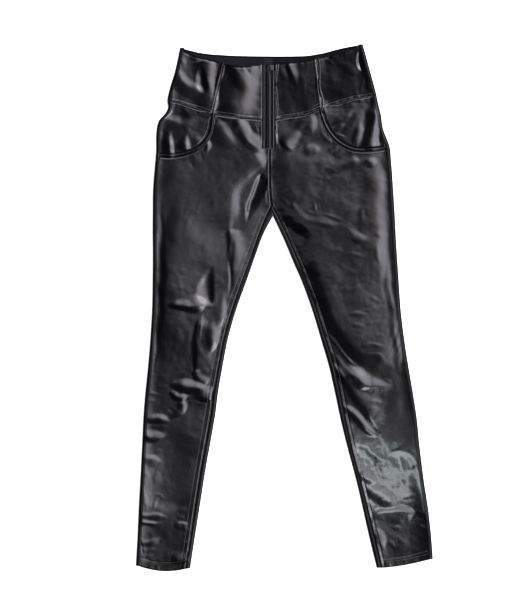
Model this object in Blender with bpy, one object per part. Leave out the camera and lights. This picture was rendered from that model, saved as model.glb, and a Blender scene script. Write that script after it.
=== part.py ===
"""Slim leather-look trousers with a deep waist yoke, laid flat on their back.

Metres. +X runs across, +Y from the hems to the waist and +Z up. The garment rests on z = 0.
"left" is the -X side and "right" the +X side. Tables are in millimetres.

The upper face is one height field, top_height(). Every front piece is cut out of it. The back
pieces lie flat on z = 0, roll round the outline and end on the front at the seams.
"""

import math
from collections import namedtuple
from functools import lru_cache

import bpy

MM = 0.001

# Cloth
CLOTH = 1.6 * MM              # wall of bonded leather-look cloth
HEM_CLOTH = 2.6 * MM          # wall where the hem is turned up
HEM_DEPTH = 17 * MM
SEAM_GAP = 0.3 * MM
ROLL = 4.5 * MM               # how far the rounded outline reaches in, seen from above
SIDE_SEAM = 8 * MM            # side seam to outline

# Height of the upper face
EDGE_FADE = 26 * MM
WELT = 1.3 * MM               # how far the cloth layers of a side seam lift the outline
WELT_WIDTH = 13 * MM
WANDER = 1.6 * MM             # how far a fold strays from its route
CREST_ROUND = 0.14
LOWEST = 5.6 * MM

# Crotch and centre seams
CROTCH_UP = 183.6 * MM
CROTCH_X = -23.4 * MM
CROTCH_SEAM_UP = 204.6 * MM
CROTCH_SEAM_X = -26.0 * MM
CENTRE_X = -30.0 * MM
SIDE_AT_CROTCH = 190 * MM
SEAM_TURN = 9                 # how sharply the inseam turns up to the crotch seam

# Pocket
BINDING_WIDTH = 7 * MM
BINDING_RISE = 1.0 * MM
BINDING_UNDER = 1.2 * MM
POCKET_DROP = 2.0 * MM
POCKET_FADE = 16 * MM

# Front zip
ZIP_LEFT = -43.4 * MM
ZIP_RIGHT = -20.8 * MM
ZIP_BOTTOM = 318 * MM
ZIP_TOP = 486.4 * MM
SLIT_LEFT = -28.4 * MM
SLIT_RIGHT = -25.8 * MM
LIP_RISE = 0.5 * MM
LIP_WALL = 2.4 * MM
TAPE_WALL = 0.8 * MM
TAPE_DEPTH = 2.5 * MM
TAPE_UNDERLAP = 3 * MM
SLIDER_WIDTH = 8.6 * MM
SLIDER_LENGTH = 11 * MM
SLIDER_RISE = 1.6 * MM
SLIDER_X = -25.6 * MM
SLIDER_PLAY = 0.5 * MM

# Blank label inside the back yoke
LABEL_WIDTH = 18 * MM
LABEL_LENGTH = 12 * MM
LABEL_WALL = 0.8 * MM
LABEL_X = -32.8 * MM
LABEL_TOP = 500 * MM

# Mesh density. Pieces that share a seam have the same points along it.
ARC_STEPS = 5
LEG_STEPS = 20                # a front leg has twice as many rows, and the same points on its seams
LEG_COLUMNS = 16
POCKET_COLUMNS = 10           # how many of them end on the pocket opening
HIP_ROWS = 11
ZIP_ROWS = 3                  # how many of them lie beside the zip
PANEL_ROWS = 7
PANEL_COLUMNS = 6
YOKE_ROWS = 8
YOKE_COLUMNS = 6
BACK_COLUMNS = 4

Section = namedtuple("Section", "up inner outer inseam")
Side = namedtuple("Side", "up outer")
Hem = namedtuple("Hem", "inner_up outer_up bow")
Point = namedtuple("Point", "x y")
Height = namedtuple("Height", "up middle edge")
Fold = namedtuple("Fold", "route left right rise grow fade crest", defaults=(0.4, 0.4, 0.0))

# Leg sections from the hem to the crotch: both outlines, and how far the inseam lies inside.
LEGS = {
    "left": (
        Section(-521, -189.0, -297.8, 9), Section(-460, -179.6, -294.4, 9),
        Section(-402, -170.4, -291.8, 10), Section(-322, -157.8, -287.4, 10),
        Section(-252, -145.2, -284.0, 10), Section(-212, -138.4, -282.0, 10),
        Section(-168, -132.8, -278.4, 9), Section(-122, -124.8, -273.6, 9),
        Section(-60, -112.8, -268.4, 9), Section(2, -94.8, -265.0, 9),
        Section(57, -74.8, -264.0, 9), Section(102, -59.2, -263.6, 10),
        Section(148, -42.0, -264.0, 11), Section(183.6, -23.4, -263.8, 11),
    ),
    "right": (
        Section(-520, 184.4, 297.8, 9), Section(-460, 169.8, 293.6, 9),
        Section(-402, 156.6, 287.2, 8), Section(-354, 145.6, 279.8, 7),
        Section(-276, 125.0, 270.0, 7), Section(-222, 111.8, 264.6, 8),
        Section(-168, 100.4, 256.4, 9), Section(-114, 88.0, 247.2, 9),
        Section(-66, 73.8, 239.8, 9), Section(-6, 55.8, 232.6, 9),
        Section(56, 33.2, 228.2, 10), Section(86, 20.0, 226.2, 11),
        Section(136, -1.0, 223.0, 11), Section(183.6, -23.4, 220.6, 11),
    ),
}

# Outline above the crotch, up to the waist.
HIPS = {
    "left": (
        Side(240, -263.0), Side(278, -260.0), Side(312, -257.2), Side(357, -255.8),
        Side(375, -250.8), Side(390, -237.6), Side(402, -233.0), Side(412, -234.6),
        Side(440, -229.2), Side(470, -220.0), Side(520, -208.8),
    ),
    "right": (
        Side(236, 217.4), Side(294, 213.2), Side(322, 210.2), Side(334, 206.0),
        Side(358, 197.0), Side(385, 192.8), Side(416, 185.6), Side(424, 184.2),
        Side(442, 179.6), Side(476, 170.4), Side(526, 156.6),
    ),
}

# Height of the upper face from the hems to the waist, in the middle and near the outline.
HEIGHTS = (
    Height(-520, 7.2, 8.2), Height(-420, 7.4, 8.6), Height(-300, 7.8, 8.6),
    Height(-200, 8.6, 8.4), Height(-100, 9.6, 8.4), Height(100, 10.2, 8.2),
    Height(300, 10.4, 8.6), Height(420, 9.6, 9.0), Height(520, 8.9, 8.9),
)

HEMS = {"left": Hem(-521.4, -516.4, 8), "right": Hem(-520.2, -503.0, 3)}

# Edges that run across the waist.
YOKE_SEAM = (
    Point(-236, 412.4), Point(-217, 410.2), Point(-188, 401.0), Point(-151, 388.8),
    Point(-117, 382.2), Point(-75, 378.0), Point(-43, 375.0), Point(-23, 375.0),
    Point(5, 379.6), Point(48, 386.6), Point(72, 396.4), Point(109, 407.2),
    Point(140, 416.4), Point(170, 420.8), Point(185, 424.0),
)
FRONT_WAIST = (
    Point(-209, 518.0), Point(-185, 505.0), Point(-155, 497.4), Point(-123, 488.8),
    Point(-87, 482.2), Point(-57, 484.6), Point(-43, 487.6), Point(-19, 488.2),
    Point(35, 492.8), Point(63, 497.4), Point(93, 505.0), Point(125, 512.8),
    Point(157, 526.0),
)
BACK_WAIST = (
    Point(-209, 519.6), Point(-167, 509.6), Point(-117, 505.0), Point(-44, 503.0),
    Point(17, 503.0), Point(47, 504.2), Point(79, 509.6), Point(109, 517.6),
    Point(139, 523.6), Point(157, 526.6),
)

# Front pocket openings, from the side seam to the yoke seam.
POCKETS = {
    "left": (
        Point(-250, 304.2), Point(-222, 303.4), Point(-190, 311.0),
        Point(-164, 327.0), Point(-149, 352.0), Point(-142, 392.0),
    ),
    "right": (
        Point(204, 319.4), Point(166, 315.0), Point(135, 317.6),
        Point(104, 335.0), Point(82, 365.0), Point(70, 404.0),
    ),
}

# Shaping seams of the front yoke: where they meet the yoke seam and the waist.
DARTS = {"left": Point(-146.0, -122.0), "right": Point(74.0, 62.6)}

# The largest folds. left and right are the widths to either side of the route, grow and fade
# the shares of its length over which it swells and dies out, and crest is 0 for a round top
# and 1 for a sharp one.
FOLDS = (
    # sides of the thighs
    Fold(((-206, 260), (-210, 150), (-228, 30), (-238, -130)), 110, 42, 2.08, 0.4, 0.3),
    Fold(((176, 310), (180, 150), (190, 20)), 34, 110, 1.3, 0.2, 0.3),
    # left thigh
    Fold(((-32, 304), (-72, 276), (-102, 240), (-112, 190), (-110, 140)), 20, 90, 2.6, 0.12, 0.3),
    Fold(((-44, 274), (-60, 236), (-72, 205), (-76, 166)), 24, 5, -3.38, 0.2, 0.4, 0.3),
    Fold(((-112, 160), (-107, 120), (-102, 60)), 30, 9, 1.95, 0.15, 0.6),
    Fold(((-118, 40), (-128, -14), (-150, -92)), 13, 20, 1.56, 0.5, 0.25),
    # left knee
    Fold(((-234, 3), (-200, 4), (-165, 4), (-140, 4)), 25, 16, 3.4, 0.7, 0.45),
    Fold(((-147, 88), (-151, 50), (-155, 16), (-166, -8)), 14, 25, -2.4, 0.5, 0.35),
    Fold(((-170, -12), (-174, -70), (-178, -134)), 34, 10, 1.5, 0.2, 0.25, 0.2),
    Fold(((-148, -10), (-148, -60), (-158, -104)), 16, 20, 1.17),
    Fold(((-232, -155), (-194, -158), (-154, -161)), 17, 16, 3.0, 0.4, 0.3, 0.1),
    Fold(((-184, -182), (-164, -180), (-142, -182)), 26, 10, 2.34, 0.5, 0.2),
    # left calf
    Fold(((-232, -236), (-230, -330), (-234, -414)), 46, 54, -1.56, 0.2, 0.15),
    Fold(((-288, -258), (-262, -260), (-234, -250)), 16, 10, 2.08, 0.1, 0.5, 0.3),
    # left front under the yoke
    Fold(((-104, 376), (-78, 346), (-42, 310)), 20, 16, 2.1, 0.2, 0.2),
    Fold(((-134, 378), (-118, 346), (-92, 316)), 15, 34, 1.56, 0.2, 0.6),
    # right leg: the long fold from the crotch into the knee
    Fold(((-16, 240), (16, 190), (54, 152), (66, 92), (90, 8), (120, -50),
          (152, -86), (200, -106), (226, -126)), 150, 28, 2.6, 0.12, 0.1, 0.3),
    Fold(((8, 336), (12, 260), (30, 204)), 110, 40, 2.21),
    # right knee
    Fold(((116, -116), (146, -142), (180, -158), (222, -160)), 24, 18, 2.6, 0.3, 0.4, 0.2),
    Fold(((106, -120), (134, -158), (162, -198), (192, -248)), 40, 16, 1.82, 0.2, 0.3, 0.3),
    Fold(((112, -194), (136, -212), (162, -238), (186, -260)), 13, 13, 1.56, 0.2, 0.3, 0.3),
    # right hip
    Fold(((-6, 318), (18, 346), (44, 378)), 20, 22, 2.6, 0.15, 0.85),
    Fold(((50, 390), (52, 342)), 16, 34, 1.3),
    # right calf
    Fold(((128, -270), (154, -298), (180, -314), (204, -308)), 22, 20, -1.04, 0.3, 0.3),
    Fold(((158, -354), (190, -376), (230, -398)), 22, 18, 1.43, 0.3, 0.3),
    Fold(((268, -306), (274, -360), (286, -426)), 9, 26, 1.04, 0.2, 0.2),
    Fold(((168, -436), (192, -411), (226, -408), (268, -414)), 13, 24, 1.69, 0.3, 0.2, 0.3),
    # yoke
    Fold(((-220, 484), (-202, 450), (-182, 438), (-162, 440)), 14, 24, 1.69, 0.3, 0.25, 0.4),
    Fold(((-157, 500), (-152, 450), (-150, 404), (-146, 372)), 20, 32, 2.21, 0.05, 0.25),
    Fold(((-76, 500), (-82, 452), (-88, 416), (-110, 344)), 36, 60, 3.51, 0.05, 0.4),
    Fold(((-106, 496), (-92, 462), (-82, 426)), 30, 22, 1.69, 0.1, 0.5),
    Fold(((-14, 506), (-15, 440), (-15, 380), (-16, 312)), 84, 3, -2.6, 0.05, 0.45, 0.4),
    Fold(((67, 516), (72, 450), (76, 410), (74, 376)), 112, 5, -3.64, 0.05, 0.3, 0.4),
)


def smooth_curve(rows, key, value):
    """A smooth function of key through the rows, straight past both ends; in metres."""
    pairs = sorted((getattr(row, key) * MM, getattr(row, value) * MM) for row in rows)
    keys = [pair[0] for pair in pairs]
    values = [pair[1] for pair in pairs]
    last = len(keys) - 1
    steps = [(values[i + 1] - values[i]) / (keys[i + 1] - keys[i]) for i in range(last)]
    slopes = [steps[0]] + [(steps[i - 1] + steps[i]) / 2 for i in range(1, last)] + [steps[-1]]

    def curve(at):
        if at <= keys[0]:
            return values[0] + steps[0] * (at - keys[0])
        if at >= keys[last]:
            return values[last] + steps[-1] * (at - keys[last])
        i = max(k for k in range(last) if keys[k] <= at)
        span = keys[i + 1] - keys[i]
        t = (at - keys[i]) / span
        rest = 1 - t
        return (values[i] * rest * rest * (1 + 2 * t) + values[i + 1] * t * t * (3 - 2 * t)
                + span * t * rest * (slopes[i] * rest - slopes[i + 1] * t))

    return curve


INNER = {side: smooth_curve(rows, "up", "inner") for side, rows in LEGS.items()}
INSEAM = {side: smooth_curve(rows, "up", "inseam") for side, rows in LEGS.items()}
OUTER = {side: smooth_curve(LEGS[side] + HIPS[side], "up", "outer") for side in LEGS}
middle_height = smooth_curve(HEIGHTS, "up", "middle")
edge_height = smooth_curve(HEIGHTS, "up", "edge")
yoke_seam = smooth_curve(YOKE_SEAM, "x", "y")
front_waist = smooth_curve(FRONT_WAIST, "x", "y")
back_waist = smooth_curve(BACK_WAIST, "x", "y")
INWARD = {"left": 1, "right": -1}     # sign of X from the outer outline to the garment


def mix(a, b, t):
    return a + (b - a) * t


def mix_points(a, b, t):
    return (mix(a[0], b[0], t), mix(a[1], b[1], t))


def ease(t):
    t = min(max(t, 0.0), 1.0)
    return t * t * (3 - 2 * t)


def bell(value, width):
    return math.exp(-(value / width) ** 2)


def side_distance(x, y):
    """Distance from a plan point to the nearer outer outline."""
    return min(x - OUTER["left"](y), OUTER["right"](y) - x)


def edge_distance(x, y):
    """Distance from a plan point to the nearest outline."""
    if y >= CROTCH_UP:
        return min(side_distance(x, y), math.hypot(x - CROTCH_X, y - CROTCH_UP))
    inner = max(INNER["left"](y) - x, x - INNER["right"](y))
    return min(side_distance(x, y), inner)


def through(points, steps=8):
    """A fine line of points on a smooth curve through a few points."""
    ends = [points[0]] + list(points) + [points[-1]]
    line = []
    for i in range(1, len(ends) - 2):
        p0, p1, p2, p3 = ends[i - 1:i + 3]
        for step in range(steps):
            t = step / steps
            line.append(tuple(
                0.5 * (2 * p1[k] + (p2[k] - p0[k]) * t
                       + (2 * p0[k] - 5 * p1[k] + 4 * p2[k] - p3[k]) * t ** 2
                       + (3 * p1[k] - p0[k] - 3 * p2[k] + p3[k]) * t ** 3)
                for k in (0, 1)))
    return line + [tuple(points[-1])]


@lru_cache(maxsize=None)
def fold_steps(fold):
    """Start, way, length and what lies before each step of a fold's route; and its length."""
    line = through([(x * MM, y * MM) for x, y in fold.route], 5)
    steps = []
    passed = 0.0
    for start, end in zip(line, line[1:]):
        length = math.dist(start, end)
        steps.append((start, (end[0] - start[0], end[1] - start[1]), length, passed))
        passed += length
    return steps, passed


@lru_cache(maxsize=None)
def fold_box(fold):
    """Plan box outside which a fold has no height."""
    starts = [step[0] for step in fold_steps(fold)[0]] + [[v * MM for v in fold.route[-1]]]
    reach = (max(fold.left, fold.right) + 3) * MM
    return [(min(values) - reach, max(values) + reach) for values in zip(*starts)]


def wander(x, y):
    """A place shifted a little, so that no fold runs quite evenly."""
    u, v = x / MM, y / MM
    return (x + WANDER * math.sin(v / 13 + 2 * math.sin(u / 19)),
            y + WANDER * math.sin(u / 11 + 2 * math.sin(v / 17)))


def fold_height(fold, x, y):
    """A ridge or trough along a smooth route, with its own width to either side."""
    if any(not low < value < high for value, (low, high) in zip((x, y), fold_box(fold))):
        return 0.0
    x, y = wander(x, y)
    steps, total = fold_steps(fold)
    nearest = math.inf
    share = turned = 0.0
    for start, way, length, before in steps:
        away = (x - start[0], y - start[1])
        t = min(max((away[0] * way[0] + away[1] * way[1]) / length ** 2, 0.0), 1.0)
        distance = math.hypot(away[0] - t * way[0], away[1] - t * way[1])
        if distance < nearest:
            nearest = distance
            share = (before + t * length) / total
            turned = way[0] * away[1] - way[1] * away[0]
    size = ease(share / fold.grow) * ease((1 - share) / fold.fade)
    width = (fold.left if turned > 0 else fold.right) * MM * (0.35 + 0.65 * size)
    q = min(nearest / width, 1.0)
    sharp = 1 - (math.hypot(q, CREST_ROUND) - CREST_ROUND) / (
        math.hypot(1.0, CREST_ROUND) - CREST_ROUND)
    return fold.rise * MM * size * mix((1 - q * q) ** 2, sharp ** 2, fold.crest)


def top_height(x, y):
    """Height of the garment's upper face above the surface that it lies on."""
    inside = max(edge_distance(x, y), 0.0)
    folds = sum(fold_height(fold, x, y) for fold in FOLDS)
    calm = 1 - 0.6 * bell(inside, 2 * ROLL)
    body = mix(middle_height(y), edge_height(y), bell(inside, EDGE_FADE))
    body += WELT * bell(max(side_distance(x, y), 0.0), WELT_WIDTH)
    return max(body + folds * calm, LOWEST)


def wall_at(side, y):
    """Thickness of a leg's wall: double where the hem is turned up."""
    hem = mix(HEMS[side].inner_up, HEMS[side].outer_up, 0.5) * MM
    return mix(HEM_CLOTH, CLOTH, ease((y - hem - HEM_DEPTH) / (3 * MM)))


def material(name, colour, roughness, metallic=0.0):
    finish = bpy.data.materials.new(name)
    finish.use_nodes = True
    shader = finish.node_tree.nodes["Principled BSDF"]
    shader.inputs["Base Color"].default_value = (*colour, 1.0)
    shader.inputs["Roughness"].default_value = roughness
    shader.inputs["Metallic"].default_value = metallic
    return finish


def make_wall(name, outer, inner, finish):
    """One closed solid between two grids of points. A grid cell with a missing point is open."""
    rows = len(outer)
    columns = len(outer[0])
    number = {}
    points = []
    for grid in (outer, inner):
        for r in range(rows):
            for c in range(columns):
                if grid[r][c] is not None:
                    number[(grid is inner, r, c)] = len(points)
                    points.append(grid[r][c])
    faces = []
    directed = set()
    for r in range(rows - 1):
        for c in range(columns - 1):
            cell = ((r, c), (r, c + 1), (r + 1, c + 1), (r + 1, c))
            if any(outer[i][j] is None for i, j in cell):
                continue
            faces.append([number[(False, i, j)] for i, j in cell])
            faces.append([number[(True, i, j)] for i, j in reversed(cell)])
            directed.update(zip(cell, cell[1:] + cell[:1]))
    for start, end in directed:
        if (end, start) not in directed:
            faces.append([number[(False, *end)], number[(False, *start)],
                          number[(True, *start)], number[(True, *end)]])
    mesh = bpy.data.meshes.new(name)
    mesh.from_pydata(points, [], faces)
    mesh.shade_smooth()
    mesh.set_sharp_from_angle(angle=math.radians(40))
    mesh.materials.append(finish)
    piece = bpy.data.objects.new(name, mesh)
    bpy.context.collection.objects.link(piece)
    return piece


def make_panel(name, plan, finish, raise_by=None, wall=None, seam_rows=0):
    """A front piece: a plan grid lifted onto the upper face, with its wall below it.

    Up to seam_rows, every other row ends halfway between its neighbours' ends, because the
    piece across the seam has half as many rows.
    """
    raise_by = raise_by or (lambda x, y: 0.0)
    wall = wall or (lambda x, y: CLOTH)
    outer = [[(x, y, top_height(x, y) + raise_by(x, y)) for x, y in row] for row in plan]
    for r in range(1, seam_rows, 2):
        for end in (0, -1):
            x, y, _ = outer[r][end]
            outer[r][end] = (x, y, mix(outer[r - 1][end][2], outer[r + 1][end][2], 0.5))
    inner = [[(x, y, z - wall(x, y)) for x, y, z in row] for row in outer]
    if plan_turn(plan) < 0:
        outer = [row[::-1] for row in outer]
        inner = [row[::-1] for row in inner]
    return make_wall(name, outer, inner, finish)


def plan_turn(plan):
    """Positive where the grid's columns and rows turn anticlockwise seen from above."""
    origin = plan[0][0]
    across = plan[0][-1]
    along = plan[-1][0]
    return ((across[0] - origin[0]) * (along[1] - origin[1])
            - (across[1] - origin[1]) * (along[0] - origin[0]))


def fill_patch(bottom, top, left, right):
    """A grid of plan points between four edges that share their corners."""
    columns = len(bottom) - 1
    rows = len(left) - 1
    patch = []
    for r in range(rows + 1):
        v = r / rows
        row = []
        for c in range(columns + 1):
            u = c / columns
            ruled = [mix(bottom[c][k], top[c][k], v) + mix(left[r][k], right[r][k], u)
                     - mix(mix(bottom[0][k], bottom[-1][k], u), mix(top[0][k], top[-1][k], u), v)
                     for k in (0, 1)]
            row.append(tuple(ruled))
        patch.append(row)
    return patch


def resample(points, count):
    """Count + 1 points, evenly spaced along a line of points."""
    reach = [0.0]
    for a, b in zip(points, points[1:]):
        reach.append(reach[-1] + math.dist(a, b))
    line = []
    for step in range(count + 1):
        at = reach[-1] * step / count
        i = min(max(k for k, value in enumerate(reach) if value <= at), len(points) - 2)
        line.append(mix_points(points[i], points[i + 1], (at - reach[i]) / (reach[i + 1] - reach[i])))
    return line


def side_seam(side, y, gap=0.0):
    """Plan point on the side seam, moved by gap onto the front."""
    return (OUTER[side](y) + INWARD[side] * (SIDE_SEAM + gap), y)


def seam_level(side):
    """Where the yoke seam meets the side seam."""
    return yoke_seam(side_seam(side, YOKE_SEAM[0].y * MM)[0])


def waist_level(side):
    """Where the front waist edge meets the side seam."""
    return front_waist(side_seam(side, FRONT_WAIST[0].y * MM)[0])


def levels(low, high, steps):
    return [mix(low, high, step / steps) for step in range(steps + 1)]


def leg_row(side, v):
    """Inner outline, inseam and outer outline of a leg, from the hem (0) to the crotch (1)."""
    hem = HEMS[side]
    inner_y = mix(hem.inner_up * MM, CROTCH_UP, v)
    outer_y = mix(hem.outer_up * MM, SIDE_AT_CROTCH, v)
    turn = v ** SEAM_TURN
    apart = INWARD[side] * SEAM_GAP / 2
    inner = (INNER[side](inner_y) - turn * apart, inner_y)
    seam = (mix(inner[0] - INWARD[side] * INSEAM[side](inner_y), CROTCH_SEAM_X - apart, turn),
            mix(inner_y, CROTCH_SEAM_UP, turn))
    return inner, seam, (OUTER[side](outer_y), outer_y)


def hem_bow(side, v, u):
    """How far a hem hangs below the straight line between its corners."""
    return HEMS[side].bow * MM * 4 * u * (1 - u) * max(0.0, 1 - v * 9) ** 2


def roll_points(edge, toward, side):
    """Outer and inner points of the wall that rolls round an outline, from above to below."""
    reach = math.dist(edge, toward)
    way = ((toward[0] - edge[0]) / reach, (toward[1] - edge[1]) / reach)
    middle = (edge[0] + way[0] * ROLL, edge[1] + way[1] * ROLL)
    half = top_height(*middle) / 2
    wall = wall_at(side, edge[1])
    outer = []
    inner = []
    for step in range(ARC_STEPS + 1):
        turn = math.pi * step / ARC_STEPS
        for points, inset in ((outer, 0.0), (inner, wall)):
            back = (ROLL - inset) * math.sin(turn)
            points.append((middle[0] - way[0] * back, middle[1] - way[1] * back,
                           half + (half - inset) * math.cos(turn)))
    return outer, inner


def strip_point(point, side):
    """Outer and inner point where a back piece lies on the front, between outline and seam."""
    height = top_height(*point)
    return (*point, height), (*point, height - wall_at(side, point[1]))


def floor_points(start, end, columns, side, v=1.0):
    """Outer and inner points of a flat stretch of a back piece, both ends left out."""
    outer = []
    inner = []
    for step in range(1, columns):
        u = step / columns
        x, y = mix_points(start, end, u)
        y -= hem_bow(side, v, u)
        outer.append((x, y, 0.0))
        inner.append((x, y, wall_at(side, y)))
    return outer, inner


def back_leg(side, finish):
    """Back leg: flat below, rolled round both outlines of the leg and ending at the seams."""
    outer_rows = []
    inner_rows = []
    for r in range(LEG_STEPS + 1):
        v = r / LEG_STEPS
        edge, seam, side_edge = leg_row(side, v)
        side_end = side_seam(side, side_edge[1])
        near = roll_points(edge, seam, side)
        far = roll_points(side_edge, side_end, side)
        inner_end = strip_point(seam, side)
        side_strip = strip_point(side_end, side)
        flat = floor_points(near[0][-1][:2], far[0][-1][:2], BACK_COLUMNS, side, v)
        for rows, k in ((outer_rows, 0), (inner_rows, 1)):
            rows.append([inner_end[k]] + near[k] + flat[k] + far[k][::-1] + [side_strip[k]])
    pocket = pocket_line(side, BINDING_WIDTH / 2 + SEAM_GAP)[0][1]
    middle = pocket_line(side, 0.0)[0][1]
    side_levels = levels(SIDE_AT_CROTCH, pocket, HIP_ROWS)[1:]
    side_levels += levels(middle, seam_level(side) - SEAM_GAP, PANEL_ROWS)
    for r, side_y in enumerate(side_levels):
        v = (r + 1) / len(side_levels)
        start_y = mix(CROTCH_UP + ROLL, back_yoke_seam(CROTCH_X) - SEAM_GAP, v)
        start = (CROTCH_X - INWARD[side] * SEAM_GAP / 2, start_y)
        far = roll_points((OUTER[side](side_y), side_y), side_seam(side, side_y), side)
        side_strip = strip_point(side_seam(side, side_y), side)
        flat = floor_points(start, far[0][-1][:2], BACK_COLUMNS, side)
        start_points = ((*start, 0.0), (*start, CLOTH))
        for rows, k in ((outer_rows, 0), (inner_rows, 1)):
            rows.append([None] * (ARC_STEPS + 1) + [start_points[k]] + flat[k]
                        + far[k][::-1] + [side_strip[k]])
    if side == "right":
        outer_rows = [row[::-1] for row in outer_rows]
        inner_rows = [row[::-1] for row in inner_rows]
    return make_wall(f"back_leg_{side}", outer_rows, inner_rows, finish)


def back_yoke_seam(x):
    """The back yoke's lower seam, straight between the two side seams."""
    left, right = (side_seam(side, seam_level(side))[0] for side in ("left", "right"))
    return mix(seam_level("left"), seam_level("right"), (x - left) / (right - left))


def back_yoke(finish, columns=16):
    """Back yoke: flat below and rolled onto the front at both sides."""
    side_levels = {}
    for side in ("left", "right"):
        side_levels[side] = levels(seam_level(side), waist_level(side), YOKE_ROWS)
        side_levels[side].append(back_waist(OUTER[side](waist_level(side))))
    outer_rows = []
    inner_rows = []
    for r in range(YOKE_ROWS + 2):
        v = r / (YOKE_ROWS + 1)
        ends = {}
        strips = {}
        for side in ("left", "right"):
            y = side_levels[side][r]
            ends[side] = roll_points((OUTER[side](y), y), side_seam(side, y), side)
            strips[side] = strip_point(side_seam(side, y), side)
        start = ends["left"][0][-1][:2]
        end = ends["right"][0][-1][:2]
        for grid, k, z in ((outer_rows, 0, 0.0), (inner_rows, 1, CLOTH)):
            flat = []
            for c in range(1, columns):
                x = mix(start[0], end[0], c / columns)
                flat.append((x, mix(back_yoke_seam(x), back_waist(x), v), z))
            grid.append([strips["left"][k]] + ends["left"][k] + flat
                        + ends["right"][k][::-1] + [strips["right"][k]])
    outer_rows = [row[::-1] for row in outer_rows]
    inner_rows = [row[::-1] for row in inner_rows]
    return make_wall("back_yoke", outer_rows, inner_rows, finish)


def pocket_line(side, offset, steps=POCKET_COLUMNS):
    """The pocket opening moved sideways by offset, towards the leg where positive."""
    line = resample(through([(p.x * MM, p.y * MM) for p in POCKETS[side]]), steps)
    moved = []
    for i, (x, y) in enumerate(line):
        before = line[max(i - 1, 0)]
        after = line[min(i + 1, steps)]
        length = math.dist(before, after)
        x += INWARD[side] * offset * (after[1] - before[1]) / length
        y += INWARD[side] * offset * (before[0] - after[0]) / length
        moved.append((x, y))
    moved[0] = side_seam(side, moved[0][1], 2 * SEAM_GAP)
    moved[-1] = (moved[-1][0], yoke_seam(moved[-1][0]) - SEAM_GAP)
    return moved


def front_leg(side, finish):
    """Front leg: from the hem to the pocket opening, the zip and the yoke seam."""
    sign = INWARD[side]
    gap = SEAM_GAP
    rows = []
    for r in range(2 * LEG_STEPS + 1):
        v = r / (2 * LEG_STEPS)
        _, seam, side_edge = leg_row(side, v)
        start = side_seam(side, side_edge[1], gap)
        end = (seam[0] - sign * gap, seam[1] + gap * v ** SEAM_TURN)
        row = []
        for c in range(LEG_COLUMNS + 1):
            u = c / LEG_COLUMNS
            x, y = mix_points(start, end, u)
            row.append((x, y - hem_bow(side, v, u)))
        rows.append(row)
    for r in range(1, 2 * LEG_STEPS, 2):
        for end in (0, -1):
            rows[r][end] = mix_points(rows[r - 1][end], rows[r + 1][end], 0.5)
    top = pocket_line(side, BINDING_WIDTH / 2 + gap)
    zip_edge = (ZIP_LEFT if side == "left" else ZIP_RIGHT) - sign * gap
    for x in levels(top[-1][0], zip_edge, LEG_COLUMNS - POCKET_COLUMNS)[1:]:
        top.append((x, yoke_seam(x) - gap))
    outer_edge = []
    for r, y in enumerate(levels(rows[-1][0][1], top[0][1], HIP_ROWS)):
        outer_edge.append(side_seam(side, y, gap * (1 + r / HIP_ROWS)))
    centre_x = CENTRE_X - sign * gap / 2
    curve = through([rows[-1][-1], (mix(centre_x, rows[-1][-1][0], 0.35), 226 * MM),
                     (centre_x, 262 * MM), (centre_x, ZIP_BOTTOM - gap)])
    inner_edge = resample(curve, HIP_ROWS - ZIP_ROWS - 1)
    inner_edge += [(zip_edge, y) for y in levels(ZIP_BOTTOM - gap, top[-1][1], ZIP_ROWS)]
    patch = fill_patch(rows[-1], top, outer_edge, inner_edge)
    return make_panel(f"front_leg_{side}", rows + patch[1:], finish,
                      wall=lambda x, y: wall_at(side, y), seam_rows=2 * LEG_STEPS)


def pocket_distance(side, x, y):
    """Distance from a plan point to the pocket opening."""
    return min(math.dist((x, y), point) for point in pocket_line(side, 0.0, 2 * POCKET_COLUMNS))


def hip_panel(side, finish):
    """Panel that shows inside the pocket opening and passes just under its binding."""
    line = pocket_line(side, 0.0)
    bottom = line[:PANEL_COLUMNS + 1]
    inner_edge = resample(line[PANEL_COLUMNS:], PANEL_ROWS)
    outer_edge = [bottom[0]]
    for y in levels(bottom[0][1], seam_level(side) - SEAM_GAP, PANEL_ROWS)[1:]:
        outer_edge.append(side_seam(side, y, SEAM_GAP))
    top = []
    for x in levels(outer_edge[-1][0], inner_edge[-1][0], PANEL_COLUMNS):
        top.append((x, yoke_seam(x) - SEAM_GAP))

    def sink(x, y):
        away = pocket_distance(side, x, y) - BINDING_WIDTH / 2 - 1 * MM
        return -POCKET_DROP * (1 - ease(away / POCKET_FADE))

    plan = fill_patch(bottom, top, outer_edge, inner_edge)
    return make_panel(f"hip_panel_{side}", plan, finish, raise_by=sink)


def pocket_binding(side, finish):
    """Thick folded edge of the pocket opening: a rounded strip a little proud of the leg."""
    lanes = []
    for offset, rise in ((-1.0, -0.4), (-0.5, 0.8), (0.0, 1.0), (0.5, 0.8), (1.0, 0.1)):
        line = pocket_line(side, offset * BINDING_WIDTH / 2)
        lanes.append([(x, y, top_height(x, y) + rise * BINDING_RISE) for x, y in line])
    outer = [list(row) for row in zip(*lanes)]
    inner = [[(x, y, top_height(x, y) - BINDING_UNDER) for x, y, _ in row] for row in outer]
    if side == "right":
        outer = [row[::-1] for row in outer]
        inner = [row[::-1] for row in inner]
    return make_wall(f"pocket_binding_{side}", outer, inner, finish)


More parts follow.
